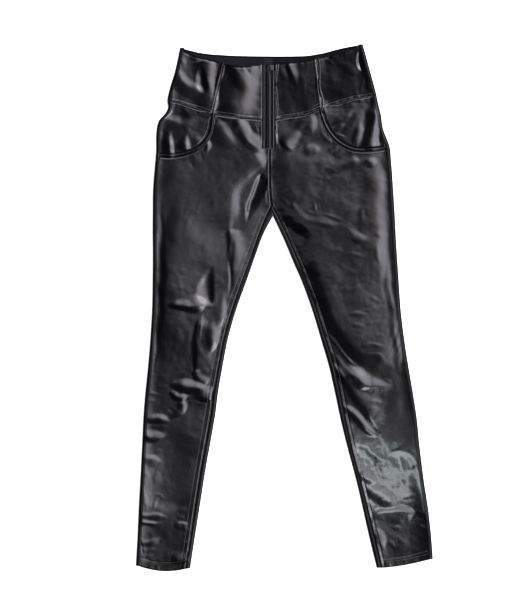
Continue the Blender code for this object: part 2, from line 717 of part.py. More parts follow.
def front_yoke(name, low, high, finish, side=None):
    """One piece of the front yoke between two upright edges, given at the seam and the waist."""
    bottom = [(x, yoke_seam(x) + SEAM_GAP / 2) for x in levels(*low, YOKE_COLUMNS)]
    top = [(x, front_waist(x)) for x in levels(*high, YOKE_COLUMNS)]
    edges = []
    for end, edge_side in ((0, "left"), (-1, "right")):
        edge = [mix_points(bottom[end], top[end], r / YOKE_ROWS) for r in range(YOKE_ROWS + 1)]
        if edge_side == side:
            edge = [side_seam(side, y, SEAM_GAP)
                    for y in levels(seam_level(side), waist_level(side), YOKE_ROWS)]
            bottom[end] = edge[0]
            top[end] = edge[-1]
        edges.append(edge)
    return make_panel(name, fill_patch(bottom, top, *edges), finish)


def yoke_pieces(finish):
    """The four pieces of the front yoke."""
    half = SEAM_GAP / 2
    for side, sign in INWARD.items():
        dart_low, dart_high = (value * MM for value in DARTS[side])
        zip_edge = (ZIP_LEFT if side == "left" else ZIP_RIGHT) - sign * SEAM_GAP
        low_edge = side_seam(side, seam_level(side), SEAM_GAP)[0]
        high_edge = side_seam(side, waist_level(side), SEAM_GAP)[0]
        centre_low = sorted((dart_low + sign * half, zip_edge))
        centre_high = sorted((dart_high + sign * half, zip_edge))
        side_low = sorted((dart_low - sign * half, low_edge))
        side_high = sorted((dart_high - sign * half, high_edge))
        front_yoke(f"yoke_centre_{side}", centre_low, centre_high, finish)
        front_yoke(f"yoke_side_{side}", side_low, side_high, finish, side=side)


def zip_strip(name, edges, top, bottom, rise, wall, finish, rows=12):
    """A narrow upright strip of the zip; edges gives its two sides from t = 0 below to 1 above."""
    plan = []
    for r in range(rows + 1):
        t = r / rows
        left, right = edges(t)
        y = mix(bottom, top, t)
        plan.append([(mix(left, right, u), y) for u in (0.0, 0.25, 0.75, 1.0)])
    return make_panel(name, plan, finish, raise_by=lambda x, y: rise, wall=lambda x, y: wall)


def zip_pieces(leather, tape):
    """The two folded edges over the zip and the tape below them."""
    slider_bottom = ZIP_TOP - SLIDER_LENGTH - 2 * SLIDER_PLAY
    narrow = SLIDER_WIDTH / 2 - (SLIDER_X - SLIT_LEFT) + SLIDER_PLAY

    def left_edges(t):
        y = mix(ZIP_BOTTOM, ZIP_TOP, t)
        return ZIP_LEFT, SLIT_LEFT - narrow * ease((y - slider_bottom + 12 * MM) / (10 * MM))

    zip_strip("zip_lip_left", left_edges, ZIP_TOP, ZIP_BOTTOM, LIP_RISE, LIP_WALL, leather)
    zip_strip("zip_lip_right", lambda t: (SLIT_RIGHT, ZIP_RIGHT), slider_bottom, ZIP_BOTTOM,
              LIP_RISE, LIP_WALL, leather)
    zip_strip("zip_tape", lambda t: (ZIP_LEFT - TAPE_UNDERLAP, ZIP_RIGHT + TAPE_UNDERLAP),
              ZIP_TOP - 2 * MM, ZIP_BOTTOM - TAPE_UNDERLAP, -TAPE_DEPTH, TAPE_WALL, tape)


def zip_slider(finish):
    """Closed slider at the top of the zip: a rounded shield with a raised bridge."""
    centre_y = ZIP_TOP - SLIDER_LENGTH / 2 - SLIDER_PLAY
    base = top_height(SLIDER_X, centre_y) - TAPE_DEPTH + SLIDER_PLAY
    outline = []
    for step in range(16):
        turn = 2 * math.pi * step / 16
        squareness = 0.32
        across = math.copysign(abs(math.cos(turn)) ** squareness, math.cos(turn))
        along = math.copysign(abs(math.sin(turn)) ** squareness, math.sin(turn))
        narrowing = mix(0.78, 1.0, (along + 1) / 2)
        outline.append((across * SLIDER_WIDTH / 2 * narrowing, along * SLIDER_LENGTH / 2))
    top = top_height(SLIDER_X, centre_y) + SLIDER_RISE
    levels = ((0.94, base), (1.0, base + 0.4 * MM), (1.0, top - 1.2 * MM), (0.9, top - 0.8 * MM),
              (0.5, top - 0.7 * MM), (0.42, top - 0.2 * MM), (0.34, top))
    points = []
    for scale, z in levels:
        points += [(SLIDER_X + x * scale, centre_y + y * scale, z) for x, y in outline]
    count = len(outline)
    faces = [list(range(count))[::-1], [len(points) - count + i for i in range(count)]]
    for level in range(len(levels) - 1):
        for i in range(count):
            j = (i + 1) % count
            low = level * count
            faces.append([low + i, low + j, low + count + j, low + count + i])
    mesh = bpy.data.meshes.new("zip_slider")
    mesh.from_pydata(points, [], faces)
    mesh.materials.append(finish)
    bpy.context.collection.objects.link(bpy.data.objects.new("zip_slider", mesh))


def waist_label(finish):
    """Blank label on the inside of the back yoke."""
    low = CLOTH + SEAM_GAP
    left = LABEL_X - LABEL_WIDTH / 2
    outer = []
    for y in (LABEL_TOP - LABEL_LENGTH, LABEL_TOP):
        outer.append([(left, y, low + LABEL_WALL), (left + LABEL_WIDTH, y, low + LABEL_WALL)])
    inner = [[(x, y, low) for x, y, _ in row] for row in outer]
    make_wall("waist_label", outer, inner, finish)


def centre_plan_box():
    """Move every mesh so that the middle of the garment's plan box is the origin."""
    meshes = [thing.data for thing in bpy.data.objects]
    for axis in (0, 1):
        places = [vertex.co[axis] for mesh in meshes for vertex in mesh.vertices]
        middle = (min(places) + max(places)) / 2
        for mesh in meshes:
            for vertex in mesh.vertices:
                vertex.co[axis] -= middle


def build():
    for thing in list(bpy.data.objects):
        bpy.data.objects.remove(thing, do_unlink=True)
    leather = material("leather", (0.012, 0.012, 0.014), 0.3)
    lining = material("label_cloth", (0.25, 0.24, 0.26), 0.8)
    tape = material("zip_tape", (0.01, 0.01, 0.011), 0.85)
    metal = material("slider_metal", (0.05, 0.05, 0.055), 0.35, metallic=1.0)
    for side in ("left", "right"):
        back_leg(side, leather)
        front_leg(side, leather)
        hip_panel(side, leather)
        pocket_binding(side, leather)
    back_yoke(leather)
    yoke_pieces(leather)
    zip_pieces(leather, tape)
    zip_slider(metal)
    waist_label(lining)
    centre_plan_box()


build()
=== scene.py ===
"""Looks of slim leather trousers laid flat on their back: cloth, sewing, zip, finishes and studio.

Metres. +X runs across, +Y from the hems to the waist and +Z up. "left" is the -X side.
Tables are in millimetres. The tables and curves of the cut are those of the part's source.
"""

import math
from collections import namedtuple
from functools import cache

import bpy
import numpy as np
from bpy.props import FloatProperty, FloatVectorProperty, PointerProperty
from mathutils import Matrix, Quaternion, Vector, noise


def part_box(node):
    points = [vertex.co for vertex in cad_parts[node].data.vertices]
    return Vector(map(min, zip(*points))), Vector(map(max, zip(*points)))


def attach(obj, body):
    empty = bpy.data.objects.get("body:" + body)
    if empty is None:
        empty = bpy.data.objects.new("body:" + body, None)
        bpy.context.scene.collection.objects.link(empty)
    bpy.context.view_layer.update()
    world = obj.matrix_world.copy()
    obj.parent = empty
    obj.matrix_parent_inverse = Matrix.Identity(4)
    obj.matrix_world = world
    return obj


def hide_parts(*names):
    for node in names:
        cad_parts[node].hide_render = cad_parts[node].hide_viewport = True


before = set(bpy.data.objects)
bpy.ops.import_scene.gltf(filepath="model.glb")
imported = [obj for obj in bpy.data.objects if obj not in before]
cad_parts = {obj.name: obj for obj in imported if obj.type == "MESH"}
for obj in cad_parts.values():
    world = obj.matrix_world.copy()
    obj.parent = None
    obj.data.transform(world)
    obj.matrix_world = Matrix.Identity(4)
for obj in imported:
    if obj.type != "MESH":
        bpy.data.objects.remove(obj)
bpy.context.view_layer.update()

bl_info = {
    "name": "Leather trousers",
    "version": (1, 0, 0),
    "blender": (4, 5, 0),
    "location": "3D View > Sidebar > Trousers",
    "description": "Builds the cloth, sewing, zip and studio of a pair of leather trousers",
    "category": "Object",
}

MM = 0.001

# ---------------------------------------------------------------- sizes of the cut

CLOTH = 1.6 * MM
HEM_CLOTH = 2.6 * MM
HEM_DEPTH = 17 * MM
SEAM_GAP = 0.3 * MM
ROLL = 4.5 * MM
SIDE_SEAM = 8 * MM

EDGE_FADE = 26 * MM
WANDER = 1.6 * MM
CREST_ROUND = 0.14
LOWEST = 5.6 * MM
WELT = 1.3 * MM               # how far the cloth layers of a side seam lift the outline
WELT_WIDTH = 13 * MM

CROTCH_UP = 183.6 * MM
CROTCH_X = -23.4 * MM
CROTCH_SEAM_UP = 204.6 * MM
CROTCH_SEAM_X = -26.0 * MM
CENTRE_X = -30.0 * MM
SIDE_AT_CROTCH = 190 * MM
SEAM_TURN = 9

BINDING_WIDTH = 7 * MM
BINDING_RISE = 1.0 * MM
BINDING_UNDER = 1.2 * MM
POCKET_DROP = 2.0 * MM
POCKET_FADE = 2.0 * MM
POCKET_SHARE = 0.625          # how much of a leg's width ends on the pocket opening

ZIP_LEFT = -43.4 * MM
ZIP_RIGHT = -20.8 * MM
ZIP_BOTTOM = 318 * MM
ZIP_TOP = 486.4 * MM
SLIT_LEFT = -28.4 * MM
SLIT_RIGHT = -25.8 * MM
LIP_RISE = 0.5 * MM
LIP_WALL = 2.4 * MM
TAPE_WALL = 0.8 * MM
TAPE_DEPTH = 2.5 * MM
TAPE_UNDERLAP = 3 * MM
SLIDER_WIDTH = 8.6 * MM
SLIDER_LENGTH = 11 * MM
SLIDER_X = -25.6 * MM
SLIDER_PLAY = 0.5 * MM
SLIDER_BOTTOM = ZIP_TOP - SLIDER_LENGTH - 2 * SLIDER_PLAY
TOOTH_PITCH = 1.5 * MM
TOOTH_WIDTH = 2.0 * MM
TOOTH_LENGTH = 0.9 * MM
TOOTH_HEIGHT = 1.1 * MM
TOOTH_STAGGER = 0.25 * MM

TURNED_EDGE = 3 * MM
LABEL_WIDTH = 18 * MM
LABEL_LENGTH = 12 * MM
LABEL_X = -32.8 * MM
LABEL_TOP = 500 * MM

CELL = 2.2 * MM               # cells of the front's grids
BACK_CELL = 5 * MM
LEG_GRID = 0.72               # rough length of a leg, for the spacing of its rows
NARROWEST = 12 * MM           # stated width of strips that measure less: a usual folded width

# ---------------------------------------------------------------- sizes of the sewing

GROOVE_WIDTH = 1.2 * MM
PUFF_AT = 2.4 * MM
PUFF_WIDTH = 1.5 * MM
DENT = 0.2 * MM
DENT_WIDTH = 1.0 * MM
PUCKER_REACH = 9 * MM
LEAST_HEIGHT = 4.8 * MM       # the upper face is never lower than this
LEAST_WALL = 0.6 * MM
INSEAM_ROW = {"left": 9.5 * MM, "right": 7.0 * MM}
YOKE_ROW = 7.0 * MM
HEM_ROW_LOW = 11 * MM         # second row of the right hem
POCKET_ROW = 2.2 * MM
SEAM_ROW = 1.8 * MM
LIP_ROW = 1.2 * MM
FLY_ROW = 2.6 * MM
INSEAM_SEWN = (14 * MM, 0.72)  # from and to, along the edge
POCKET_SEWN = (4 * MM, 0.19)
FLY_SEWN = (0.745, 0.838)
INSEAM_DENTED = 0.73
STITCH_RINGS = ((0.0, 0.35, -0.45), (0.16, 0.95, 0.1), (0.5, 1.0, 0.5), (0.84, 0.95, 0.1),
                (1.0, 0.35, -0.45))
STITCH_SIDES = 6
STITCH_FILL = 0.86            # share of the pitch that shows as thread
FINE_STEPS = (0.0, 0.5, 1.0, 1.6, 2.3, 3.2, 4.3, 5.4, 6.4, 7.2, 8.2, 9.4, 11.0, 13.0)

Section = namedtuple("Section", "up inner outer inseam")
Side = namedtuple("Side", "up outer")
Hem = namedtuple("Hem", "inner_up outer_up bow")
Height = namedtuple("Height", "up middle edge")
Gloss = namedtuple("Gloss", "x y across along change")
Crumple = namedtuple("Crumple", "x y across along rise")
Point = namedtuple("Point", "x y")
Fold = namedtuple("Fold", "route left right rise grow fade crest", defaults=(0.4, 0.4, 0.0))
Tack = namedtuple("Tack", "x y x_end y_end rise")
Edge = namedtuple("Edge", "groove puff pucker seed stitch below", defaults=(None, 1e9))
Softbox = namedtuple("Softbox", "name place aim size turn setting tint")

LEGS = {
    "left": (
        Section(-521, -189.0, -297.8, 9), Section(-460, -179.6, -294.4, 9),
        Section(-402, -170.4, -291.8, 10), Section(-322, -157.8, -287.4, 10),
        Section(-252, -145.2, -284.0, 10), Section(-212, -138.4, -282.0, 10),
        Section(-168, -132.8, -278.4, 9), Section(-122, -124.8, -273.6, 9),
        Section(-60, -112.8, -268.4, 9), Section(2, -94.8, -265.0, 9),
        Section(57, -74.8, -264.0, 9), Section(102, -59.2, -263.6, 10),
        Section(148, -42.0, -264.0, 11), Section(183.6, -23.4, -263.8, 11),
    ),
    "right": (
        Section(-520, 184.4, 297.8, 9), Section(-460, 169.8, 293.6, 9),
        Section(-402, 156.6, 287.2, 8), Section(-354, 145.6, 279.8, 7),
        Section(-276, 125.0, 270.0, 7), Section(-222, 111.8, 264.6, 8),
        Section(-168, 100.4, 256.4, 9), Section(-114, 88.0, 247.2, 9),
        Section(-66, 73.8, 239.8, 9), Section(-6, 55.8, 232.6, 9),
        Section(56, 33.2, 228.2, 10), Section(86, 20.0, 226.2, 11),
        Section(136, -1.0, 223.0, 11), Section(183.6, -23.4, 220.6, 11),
    ),
}
HIPS = {
    "left": (
        Side(240, -263.0), Side(278, -260.0), Side(312, -257.2), Side(357, -255.8),
        Side(375, -250.8), Side(390, -237.6), Side(402, -233.0), Side(412, -234.6),
        Side(440, -229.2), Side(470, -220.0), Side(520, -208.8),
    ),
    "right": (
        Side(236, 217.4), Side(294, 213.2), Side(322, 210.2), Side(334, 206.0),
        Side(358, 197.0), Side(385, 192.8), Side(416, 185.6), Side(424, 184.2),
        Side(442, 179.6), Side(476, 170.4), Side(526, 156.6),
    ),
}
HEIGHTS = (
    Height(-520, 7.2, 8.2), Height(-420, 7.4, 8.6), Height(-300, 7.8, 8.6),
    Height(-200, 8.6, 8.4), Height(-100, 9.6, 8.4), Height(100, 10.2, 8.2),
    Height(300, 10.4, 8.6), Height(420, 9.6, 9.0), Height(520, 8.9, 8.9),
)
HEMS = {"left": Hem(-521.4, -516.4, 8), "right": Hem(-520.2, -503.0, 3)}
YOKE_SEAM = (
    Point(-236, 412.4), Point(-217, 410.2), Point(-188, 401.0), Point(-151, 388.8),
    Point(-117, 382.2), Point(-75, 378.0), Point(-43, 375.0), Point(-23, 375.0),
    Point(5, 379.6), Point(48, 386.6), Point(72, 396.4), Point(109, 407.2),
    Point(140, 416.4), Point(170, 420.8), Point(185, 424.0),
)
FRONT_WAIST = (
    Point(-209, 518.0), Point(-185, 505.0), Point(-155, 497.4), Point(-123, 488.8),
    Point(-87, 482.2), Point(-57, 484.6), Point(-43, 487.6), Point(-19, 488.2),
    Point(35, 492.8), Point(63, 497.4), Point(93, 505.0), Point(125, 512.8),
    Point(157, 526.0),
)
BACK_WAIST = (
    Point(-209, 519.6), Point(-167, 509.6), Point(-117, 505.0), Point(-44, 503.0),
    Point(17, 503.0), Point(47, 504.2), Point(79, 509.6), Point(109, 517.6),
    Point(139, 523.6), Point(157, 526.6),
)
POCKETS = {
    "left": (
        Point(-250, 304.2), Point(-222, 303.4), Point(-190, 311.0),
        Point(-164, 327.0), Point(-149, 352.0), Point(-142, 392.0),
    ),
    "right": (
        Point(204, 319.4), Point(166, 315.0), Point(135, 317.6),
        Point(104, 335.0), Point(82, 365.0), Point(70, 404.0),
    ),
}
DARTS = {"left": Point(-146.0, -122.0), "right": Point(74.0, 62.6)}

# The largest folds, as in the solids. left and right are the widths to either side of the
# route, grow and fade the shares of its length over which it swells and dies out, and crest
# is 0 for a round top and 1 for a sharp one.
FOLDS = (
    # sides of the thighs
    Fold(((-206, 260), (-210, 150), (-228, 30), (-238, -130)), 110, 42, 2.08, 0.4, 0.3),
    Fold(((176, 310), (180, 150), (190, 20)), 34, 110, 1.3, 0.2, 0.3),
    # left thigh
    Fold(((-32, 304), (-72, 276), (-102, 240), (-112, 190), (-110, 140)), 20, 90, 2.6, 0.12, 0.3),
    Fold(((-44, 274), (-60, 236), (-72, 205), (-76, 166)), 24, 5, -3.38, 0.2, 0.4, 0.3),
    Fold(((-112, 160), (-107, 120), (-102, 60)), 30, 9, 1.95, 0.15, 0.6),
    Fold(((-118, 40), (-128, -14), (-150, -92)), 13, 20, 1.56, 0.5, 0.25),
    # left knee
    Fold(((-234, 3), (-200, 4), (-165, 4), (-140, 4)), 25, 16, 3.4, 0.7, 0.45),
    Fold(((-147, 88), (-151, 50), (-155, 16), (-166, -8)), 14, 25, -2.4, 0.5, 0.35),
    Fold(((-170, -12), (-174, -70), (-178, -134)), 34, 10, 1.5, 0.2, 0.25, 0.2),
    Fold(((-148, -10), (-148, -60), (-158, -104)), 16, 20, 1.17),
    Fold(((-232, -155), (-194, -158), (-154, -161)), 17, 16, 3.0, 0.4, 0.3, 0.1),
    Fold(((-184, -182), (-164, -180), (-142, -182)), 26, 10, 2.34, 0.5, 0.2),
    # left calf
    Fold(((-232, -236), (-230, -330), (-234, -414)), 46, 54, -1.56, 0.2, 0.15),
    Fold(((-288, -258), (-262, -260), (-234, -250)), 16, 10, 2.08, 0.1, 0.5, 0.3),
    # left front under the yoke
    Fold(((-104, 376), (-78, 346), (-42, 310)), 20, 16, 2.1, 0.2, 0.2),
    Fold(((-134, 378), (-118, 346), (-92, 316)), 15, 34, 1.56, 0.2, 0.6),
    # right leg: the long fold from the crotch into the knee
    Fold(((-16, 240), (16, 190), (54, 152), (66, 92), (90, 8), (120, -50),
          (152, -86), (200, -106), (226, -126)), 150, 28, 2.6, 0.12, 0.1, 0.3),
    Fold(((8, 336), (12, 260), (30, 204)), 110, 40, 2.21),
    # right knee
    Fold(((116, -116), (146, -142), (180, -158), (222, -160)), 24, 18, 2.6, 0.3, 0.4, 0.2),
    Fold(((106, -120), (134, -158), (162, -198), (192, -248)), 40, 16, 1.82, 0.2, 0.3, 0.3),
    Fold(((112, -194), (136, -212), (162, -238), (186, -260)), 13, 13, 1.56, 0.2, 0.3, 0.3),
    # right hip
    Fold(((-6, 318), (18, 346), (44, 378)), 20, 22, 2.6, 0.15, 0.85),
    Fold(((50, 390), (52, 342)), 16, 34, 1.3),
    # right calf
    Fold(((128, -270), (154, -298), (180, -314), (204, -308)), 22, 20, -1.04, 0.3, 0.3),
    Fold(((158, -354), (190, -376), (230, -398)), 22, 18, 1.43, 0.3, 0.3),
    Fold(((268, -306), (274, -360), (286, -426)), 9, 26, 1.04, 0.2, 0.2),
    Fold(((168, -436), (192, -411), (226, -408), (268, -414)), 13, 24, 1.69, 0.3, 0.2, 0.3),
    # yoke
    Fold(((-220, 484), (-202, 450), (-182, 438), (-162, 440)), 14, 24, 1.69, 0.3, 0.25, 0.4),
    Fold(((-157, 500), (-152, 450), (-150, 404), (-146, 372)), 20, 32, 2.21, 0.05, 0.25),
    Fold(((-76, 500), (-82, 452), (-88, 416), (-110, 344)), 36, 60, 3.51, 0.05, 0.4),
    Fold(((-106, 496), (-92, 462), (-82, 426)), 30, 22, 1.69, 0.1, 0.5),
    Fold(((-14, 506), (-15, 440), (-15, 380), (-16, 312)), 84, 3, -2.6, 0.05, 0.45, 0.4),
    Fold(((67, 516), (72, 450), (76, 410), (74, 376)), 112, 5, -3.64, 0.05, 0.3, 0.4),
)

# Finer creases and wrinkles of the front.
CREASES = (
    # the larger creases
    Fold(((-246, 230), (-248, 130), (-252, 0), (-262, -140)), 12, 14, -1.04, 0.4, 0.3),
    Fold(((207, 296), (208, 150), (215, 30), (234, -100)), 9, 22, -0.35, 0.15, 0.4),
    Fold(((-106, 138), (-107, 70), (-113, 4)), 6, 5, -0.52, 0.1, 0.4, 0.3),
    Fold(((-234, 3), (-206, 3), (-176, 4)), 17, 8, 1.5, 0.35, 0.4),
    Fold(((-180, -120), (-172, -138), (-154, -156)), 15, 11, 1.1, 0.2, 0.2, 0.2),
    Fold(((-232, -168), (-212, -178), (-188, -176)), 14, 9, 1.82),
    Fold(((-204, -180), (-209, -206), (-234, -226)), 11, 12, 1.43, 0.2, 0.5),
    Fold(((-288, -232), (-254, -220), (-224, -230)), 11, 12, 1.56),
    Fold(((-288, -300), (-264, -302), (-238, -314)), 9, 18, 1.3, 0.1, 0.6, 0.3),
    Fold(((-292, -415), (-262, -415), (-232, -422)), 8, 10, 1.3, 0.1, 0.5, 0.4),
    Fold(((-290, -430), (-262, -431), (-244, -428)), 7, 8, 1.3, 0.1, 0.5, 0.4),
    Fold(((-288, -473), (-266, -469), (-244, -457)), 8, 10, 1.1, 0.1, 0.5, 0.4),
    Fold(((-224, -436), (-206, -434), (-190, -430)), 8, 15, 1.2),
    Fold(((-230, -511), (-210, -504), (-190, -504)), 18, 6, 2.6, 0.5, 0.1, 0.4),
    Fold(((-157, 338), (-156, 308)), 10, 6, 1.43),
    Fold(((96, -106), (112, -130), (140, -158)), 13, 11, 1.23),
    Fold(((204, 98), (211, 20), (220, -34), (231, -140)), 12, 11, 0.6, 0.2, 0.2, 0.3),
    Fold(((76, 270), (116, 286), (152, 295)), 13, 15, 1.3, 0.5, 0.2, 0.3),
    Fold(((156, 290), (186, 293)), 13, 11, 1.17),
    Fold(((34, 312), (74, 316)), 16, 13, 0.91),
    Fold(((122, 160), (144, 140), (170, 136)), 15, 13, 0.85),
    Fold(((206, -300), (214, -290), (232, -287), (252, -295), (266, -314), (274, -352)),
         9, 14, 0.45, 0.3, 0.4, 0.2),
    Fold(((150, -336), (170, -342), (190, -352)), 14, 13, 0.98, 0.1, 0.5),
    Fold(((180, -436), (190, -458), (196, -488)), 14, 10, 0.9),
    Fold(((-172, 484), (-164, 454), (-160, 424)), 11, 15, -2.34, 0.4, 0.3),
    Fold(((6, 494), (14, 468), (22, 440)), 18, 8, 1.43, 0.2, 0.5, 0.2),
    Fold(((148, 514), (149, 492), (156, 474)), 11, 3.5, -2.0, 0.3, 0.25, 0.3),
    Fold(((-246, 388), (-216, 385), (-186, 378)), 16, 17, -1.6),
    Fold(((-236, 412), (-234, 394), (-248, 378), (-256, 352)), 9, 8, 1.4, 0.15, 0.4),
    Fold(((-164, 392), (-172, 356), (-186, 336)), 40, 30, -0.6, 0.2, 0.3),
    Fold(((-229, 358), (-228, 298)), 9, 24, 2.34, 0.6, 0.1, 0.2),
    Fold(((-196, 350), (-196, 308)), 9, 20, 2.08, 0.6, 0.3, 0.2),
    Fold(((184, 420), (179, 360), (173, 312)), 15, 22, 2.86, 0.3, 0.1, 0.1),
    Fold(((150, 378), (142, 318)), 12, 12, 1.17),
    # yoke
    Fold(((-206, 510), (-198, 474)), 8, 8, 0.23),
    Fold(((-190, 504), (-150, 490)), 6, 8, 0.23),
    Fold(((-80, 486), (-74, 474), (-64, 462)), 5, 6, -0.33, 0.1, 0.5, 0.4),
    Fold(((-114, 487), (-84, 462)), 7, 7, 0.2),
    Fold(((-118, 414), (-84, 400)), 10, 10, 0.16),
    Fold(((-14, 488), (6, 450)), 8, 8, 0.23),
    Fold(((30, 480), (40, 420)), 8, 10, 0.16),
    Fold(((160, 496), (167, 472)), 6, 6, 0.33),
    Fold(((96, 496), (160, 460)), 14, 12, 0.29),
    Fold(((76, 501), (100, 488)), 5, 6, 0.23),
    Fold(((158, 466), (148, 418)), 6, 6, 0.16),
    Fold(((78, 500), (112, 508), (142, 514)), 5, 6, 0.26),
    Fold(((-123, 492), (-134, 440), (-144, 392)), 6, 7, 1.1, 0.05, 0.05, 0.5),
    Fold(((64, 496), (74, 400)), 4, 8, 0.52, 0.05, 0.05, 0.5),
    # left pocket panel and the front beside it
    Fold(((-236, 405), (-229, 384)), 6, 5, 0.39),
    Fold(((-252, 380), (-234, 376)), 5, 5, 0.26),
    Fold(((-170, 344), (-176, 316)), 6, 12, 0.33),
    Fold(((-76, 374), (-60, 346)), 5, 5, -0.29),
    Fold(((-60, 372), (-50, 344)), 4, 5, 0.23),
    Fold(((-196, 302), (-178, 276)), 5, 5, -0.29),
    Fold(((-190, 310), (-172, 296)), 4, 5, 0.26),
    Fold(((-172, 318), (-160, 292)), 4, 6, -0.23),
    # right pocket panel and the front beside it
    Fold(((90, 364), (108, 372), (142, 396)), 7, 8, 0.72),
    Fold(((98, 350), (124, 368)), 5, 6, 0.59),
    Fold(((104, 345), (124, 341)), 4, 5, 0.45),
    Fold(((112, 338), (146, 380), (166, 402)), 12, 14, 0.78),
    Fold(((198, 356), (200, 318)), 7, 12, 1.3),
    Fold(((70, 354), (84, 340)), 5, 5, 0.26),
    Fold(((76, 342), (94, 330)), 5, 5, 0.29),
    Fold(((84, 313), (110, 322)), 8, 8, 0.33),
    Fold(((94, 306), (122, 316)), 6, 7, 0.26),
    Fold(((-18, 352), (-12, 300)), 6, 5, 0.2),
    # left thigh
    Fold(((-84, 222), (-80, 190), (-74, 156)), 5, 6, 0.33),
    Fold(((-96, 214), (-98, 168)), 6, 7, 0.29),
    Fold(((-108, 132), (-107, 84), (-112, 20)), 4, 5, -0.45, 0.1, 0.3, 0.4),
    Fold(((-186, 190), (-204, 130)), 8, 8, 0.16),
    Fold(((-168, 216), (-178, 180)), 6, 6, 0.16),
    Fold(((-142, 228), (-138, 182)), 7, 8, 0.23),
    Fold(((-206, 196), (-180, 197)), 6, 6, 0.16),
    Fold(((-124, 230), (-164, 212)), 9, 9, 0.2),
    Fold(((-110, 276), (-150, 236)), 10, 10, 0.23),
    Fold(((-34, 262), (-40, 214)), 4, 5, 0.29),
    Fold(((-42, 240), (-34, 202)), 4, 5, 0.23),
    Fold(((-246, 262), (-206, 236)), 12, 10, 0.2),
    Fold(((-196, 138), (-188, 104)), 7, 7, 0.13),
    Fold(((-150, 150), (-158, 96)), 12, 12, 0.16),
    Fold(((-218, 80), (-206, 24)), 10, 9, 0.2),
    # left knee
    Fold(((-168, 2), (-166, -30), (-170, -74)), 4, 4, 0.29),
    Fold(((-172, -128), (-146, -126)), 12, 8, 0.39),
    Fold(((-278, -166), (-248, -177)), 5, 5, 0.33),
    Fold(((-282, -184), (-254, -187)), 5, 5, 0.29),
    Fold(((-264, -156), (-226, -160)), 6, 6, 0.2),
    Fold(((-262, -140), (-224, -136)), 7, 6, 0.16),
    Fold(((-234, -200), (-222, -212)), 5, 5, -0.26),
    Fold(((-274, -240), (-228, -234)), 7, 7, 0.33),
    Fold(((-176, -196), (-150, -190)), 6, 7, 0.26),
    Fold(((-200, -186), (-158, -196)), 5, 6, 0.2),
    Fold(((-190, -30), (-196, -110)), 8, 10, 0.16),
    Fold(((-214, -30), (-218, -96)), 9, 9, 0.16),
    # left calf
    Fold(((-258, -318), (-256, -362)), 11, 8, 0.33),
    Fold(((-268, -376), (-250, -373), (-238, -388)), 6, 6, 0.33),
    Fold(((-264, -406), (-258, -386), (-246, -374)), 6, 6, 0.29),
    Fold(((-284, -352), (-276, -406)), 7, 7, 0.29),
    Fold(((-286, -330), (-268, -340)), 6, 7, 0.29),
    Fold(((-262, -290), (-240, -286)), 6, 7, 0.23),
    Fold(((-286, -485), (-256, -480)), 6, 8, 0.45, 0.1, 0.5, 0.3),
    Fold(((-280, -498), (-262, -492)), 6, 6, 0.26),
    Fold(((-252, -504), (-230, -497), (-206, -486)), 7, 8, 0.42),
    Fold(((-214, -405), (-190, -403)), 9, 8, 0.39),
    Fold(((-206, -447), (-191, -443)), 4, 4, 0.29),
    Fold(((-208, -459), (-191, -455)), 4, 4, 0.29),
    Fold(((-206, -472), (-192, -469)), 4, 4, 0.26),
    Fold(((-216, -420), (-196, -416)), 4, 6, 0.29),
    Fold(((-246, -452), (-228, -446)), 8, 8, 0.16),
    Fold(((-200, -250), (-176, -262)), 9, 9, 0.16),
    # right thigh
    Fold(((10, 224), (24, 190), (60, 171), (118, 166)), 13, 9, 0.45, 0.2, 0.3, 0.3),
    Fold(((70, 186), (98, 182), (122, 172)), 5, 5, 0.23),
    Fold(((40, 196), (62, 186)), 5, 5, 0.2),
    Fold(((60, 208), (64, 190)), 4, 4, 0.33),
    Fold(((67, 210), (71, 192)), 4, 4, 0.26),
    Fold(((118, 184), (150, 202)), 6, 6, 0.2),
    Fold(((150, 204), (156, 166)), 8, 6, 0.26),
    Fold(((176, 150), (200, 142)), 9, 8, 0.26),
    Fold(((64, 262), (96, 258)), 5, 6, 0.16),
    Fold(((76, 282), (112, 272)), 6, 6, 0.2),
    Fold(((186, 130), (190, 82)), 7, 8, 0.29),
    Fold(((110, 104), (140, 108), (172, 98)), 6, 8, 0.2),
    Fold(((84, 116), (120, 112)), 8, 8, 0.16),
    Fold(((116, 30), (140, 40), (170, 52)), 6, 7, 0.2),
    Fold(((98, 18), (112, 34), (140, 44)), 6, 6, 0.16),
    Fold(((170, 22), (196, 8)), 8, 8, 0.2),
    Fold(((120, 66), (160, 72)), 6, 7, 0.16),
    Fold(((126, -15), (150, -12), (174, -11)), 6, 8, 0.39),
    Fold(((150, -7), (176, -3), (200, 3)), 5, 6, 0.29),
    Fold(((128, -37), (160, -34)), 5, 6, 0.26),
    Fold(((158, -31), (192, -26)), 5, 6, 0.26),
    Fold(((148, -79), (176, -74), (202, -77)), 5, 7, 0.39),
    Fold(((158, -99), (182, -94), (204, -101)), 6, 7, 0.36),
    Fold(((136, -60), (160, -54)), 6, 7, 0.2),
    Fold(((176, -54), (204, -58)), 6, 7, 0.2),
    # right knee
    Fold(((80, -42), (104, -76), (128, -106), (152, -125)), 5, 6, 0.45, 0.2, 0.3, 0.3),
    Fold(((94, -90), (122, -124), (146, -149)), 6, 7, 0.49, 0.2, 0.3, 0.3),
    Fold(((148, -166), (176, -162), (204, -165)), 6, 6, -0.29),
    Fold(((158, -177), (186, -172), (212, -177)), 5, 6, 0.29),
    Fold(((158, -191), (180, -188), (204, -191)), 5, 7, 0.36),
    Fold(((164, -207), (192, -202)), 6, 7, 0.26),
    Fold(((176, -222), (210, -218)), 7, 8, 0.23),
    Fold(((124, -232), (140, -244)), 6, 7, 0.33),
    Fold(((216, -262), (240, -270)), 8, 8, 0.26),
    Fold(((196, -146), (216, -150)), 5, 5, 0.29),
    # right calf
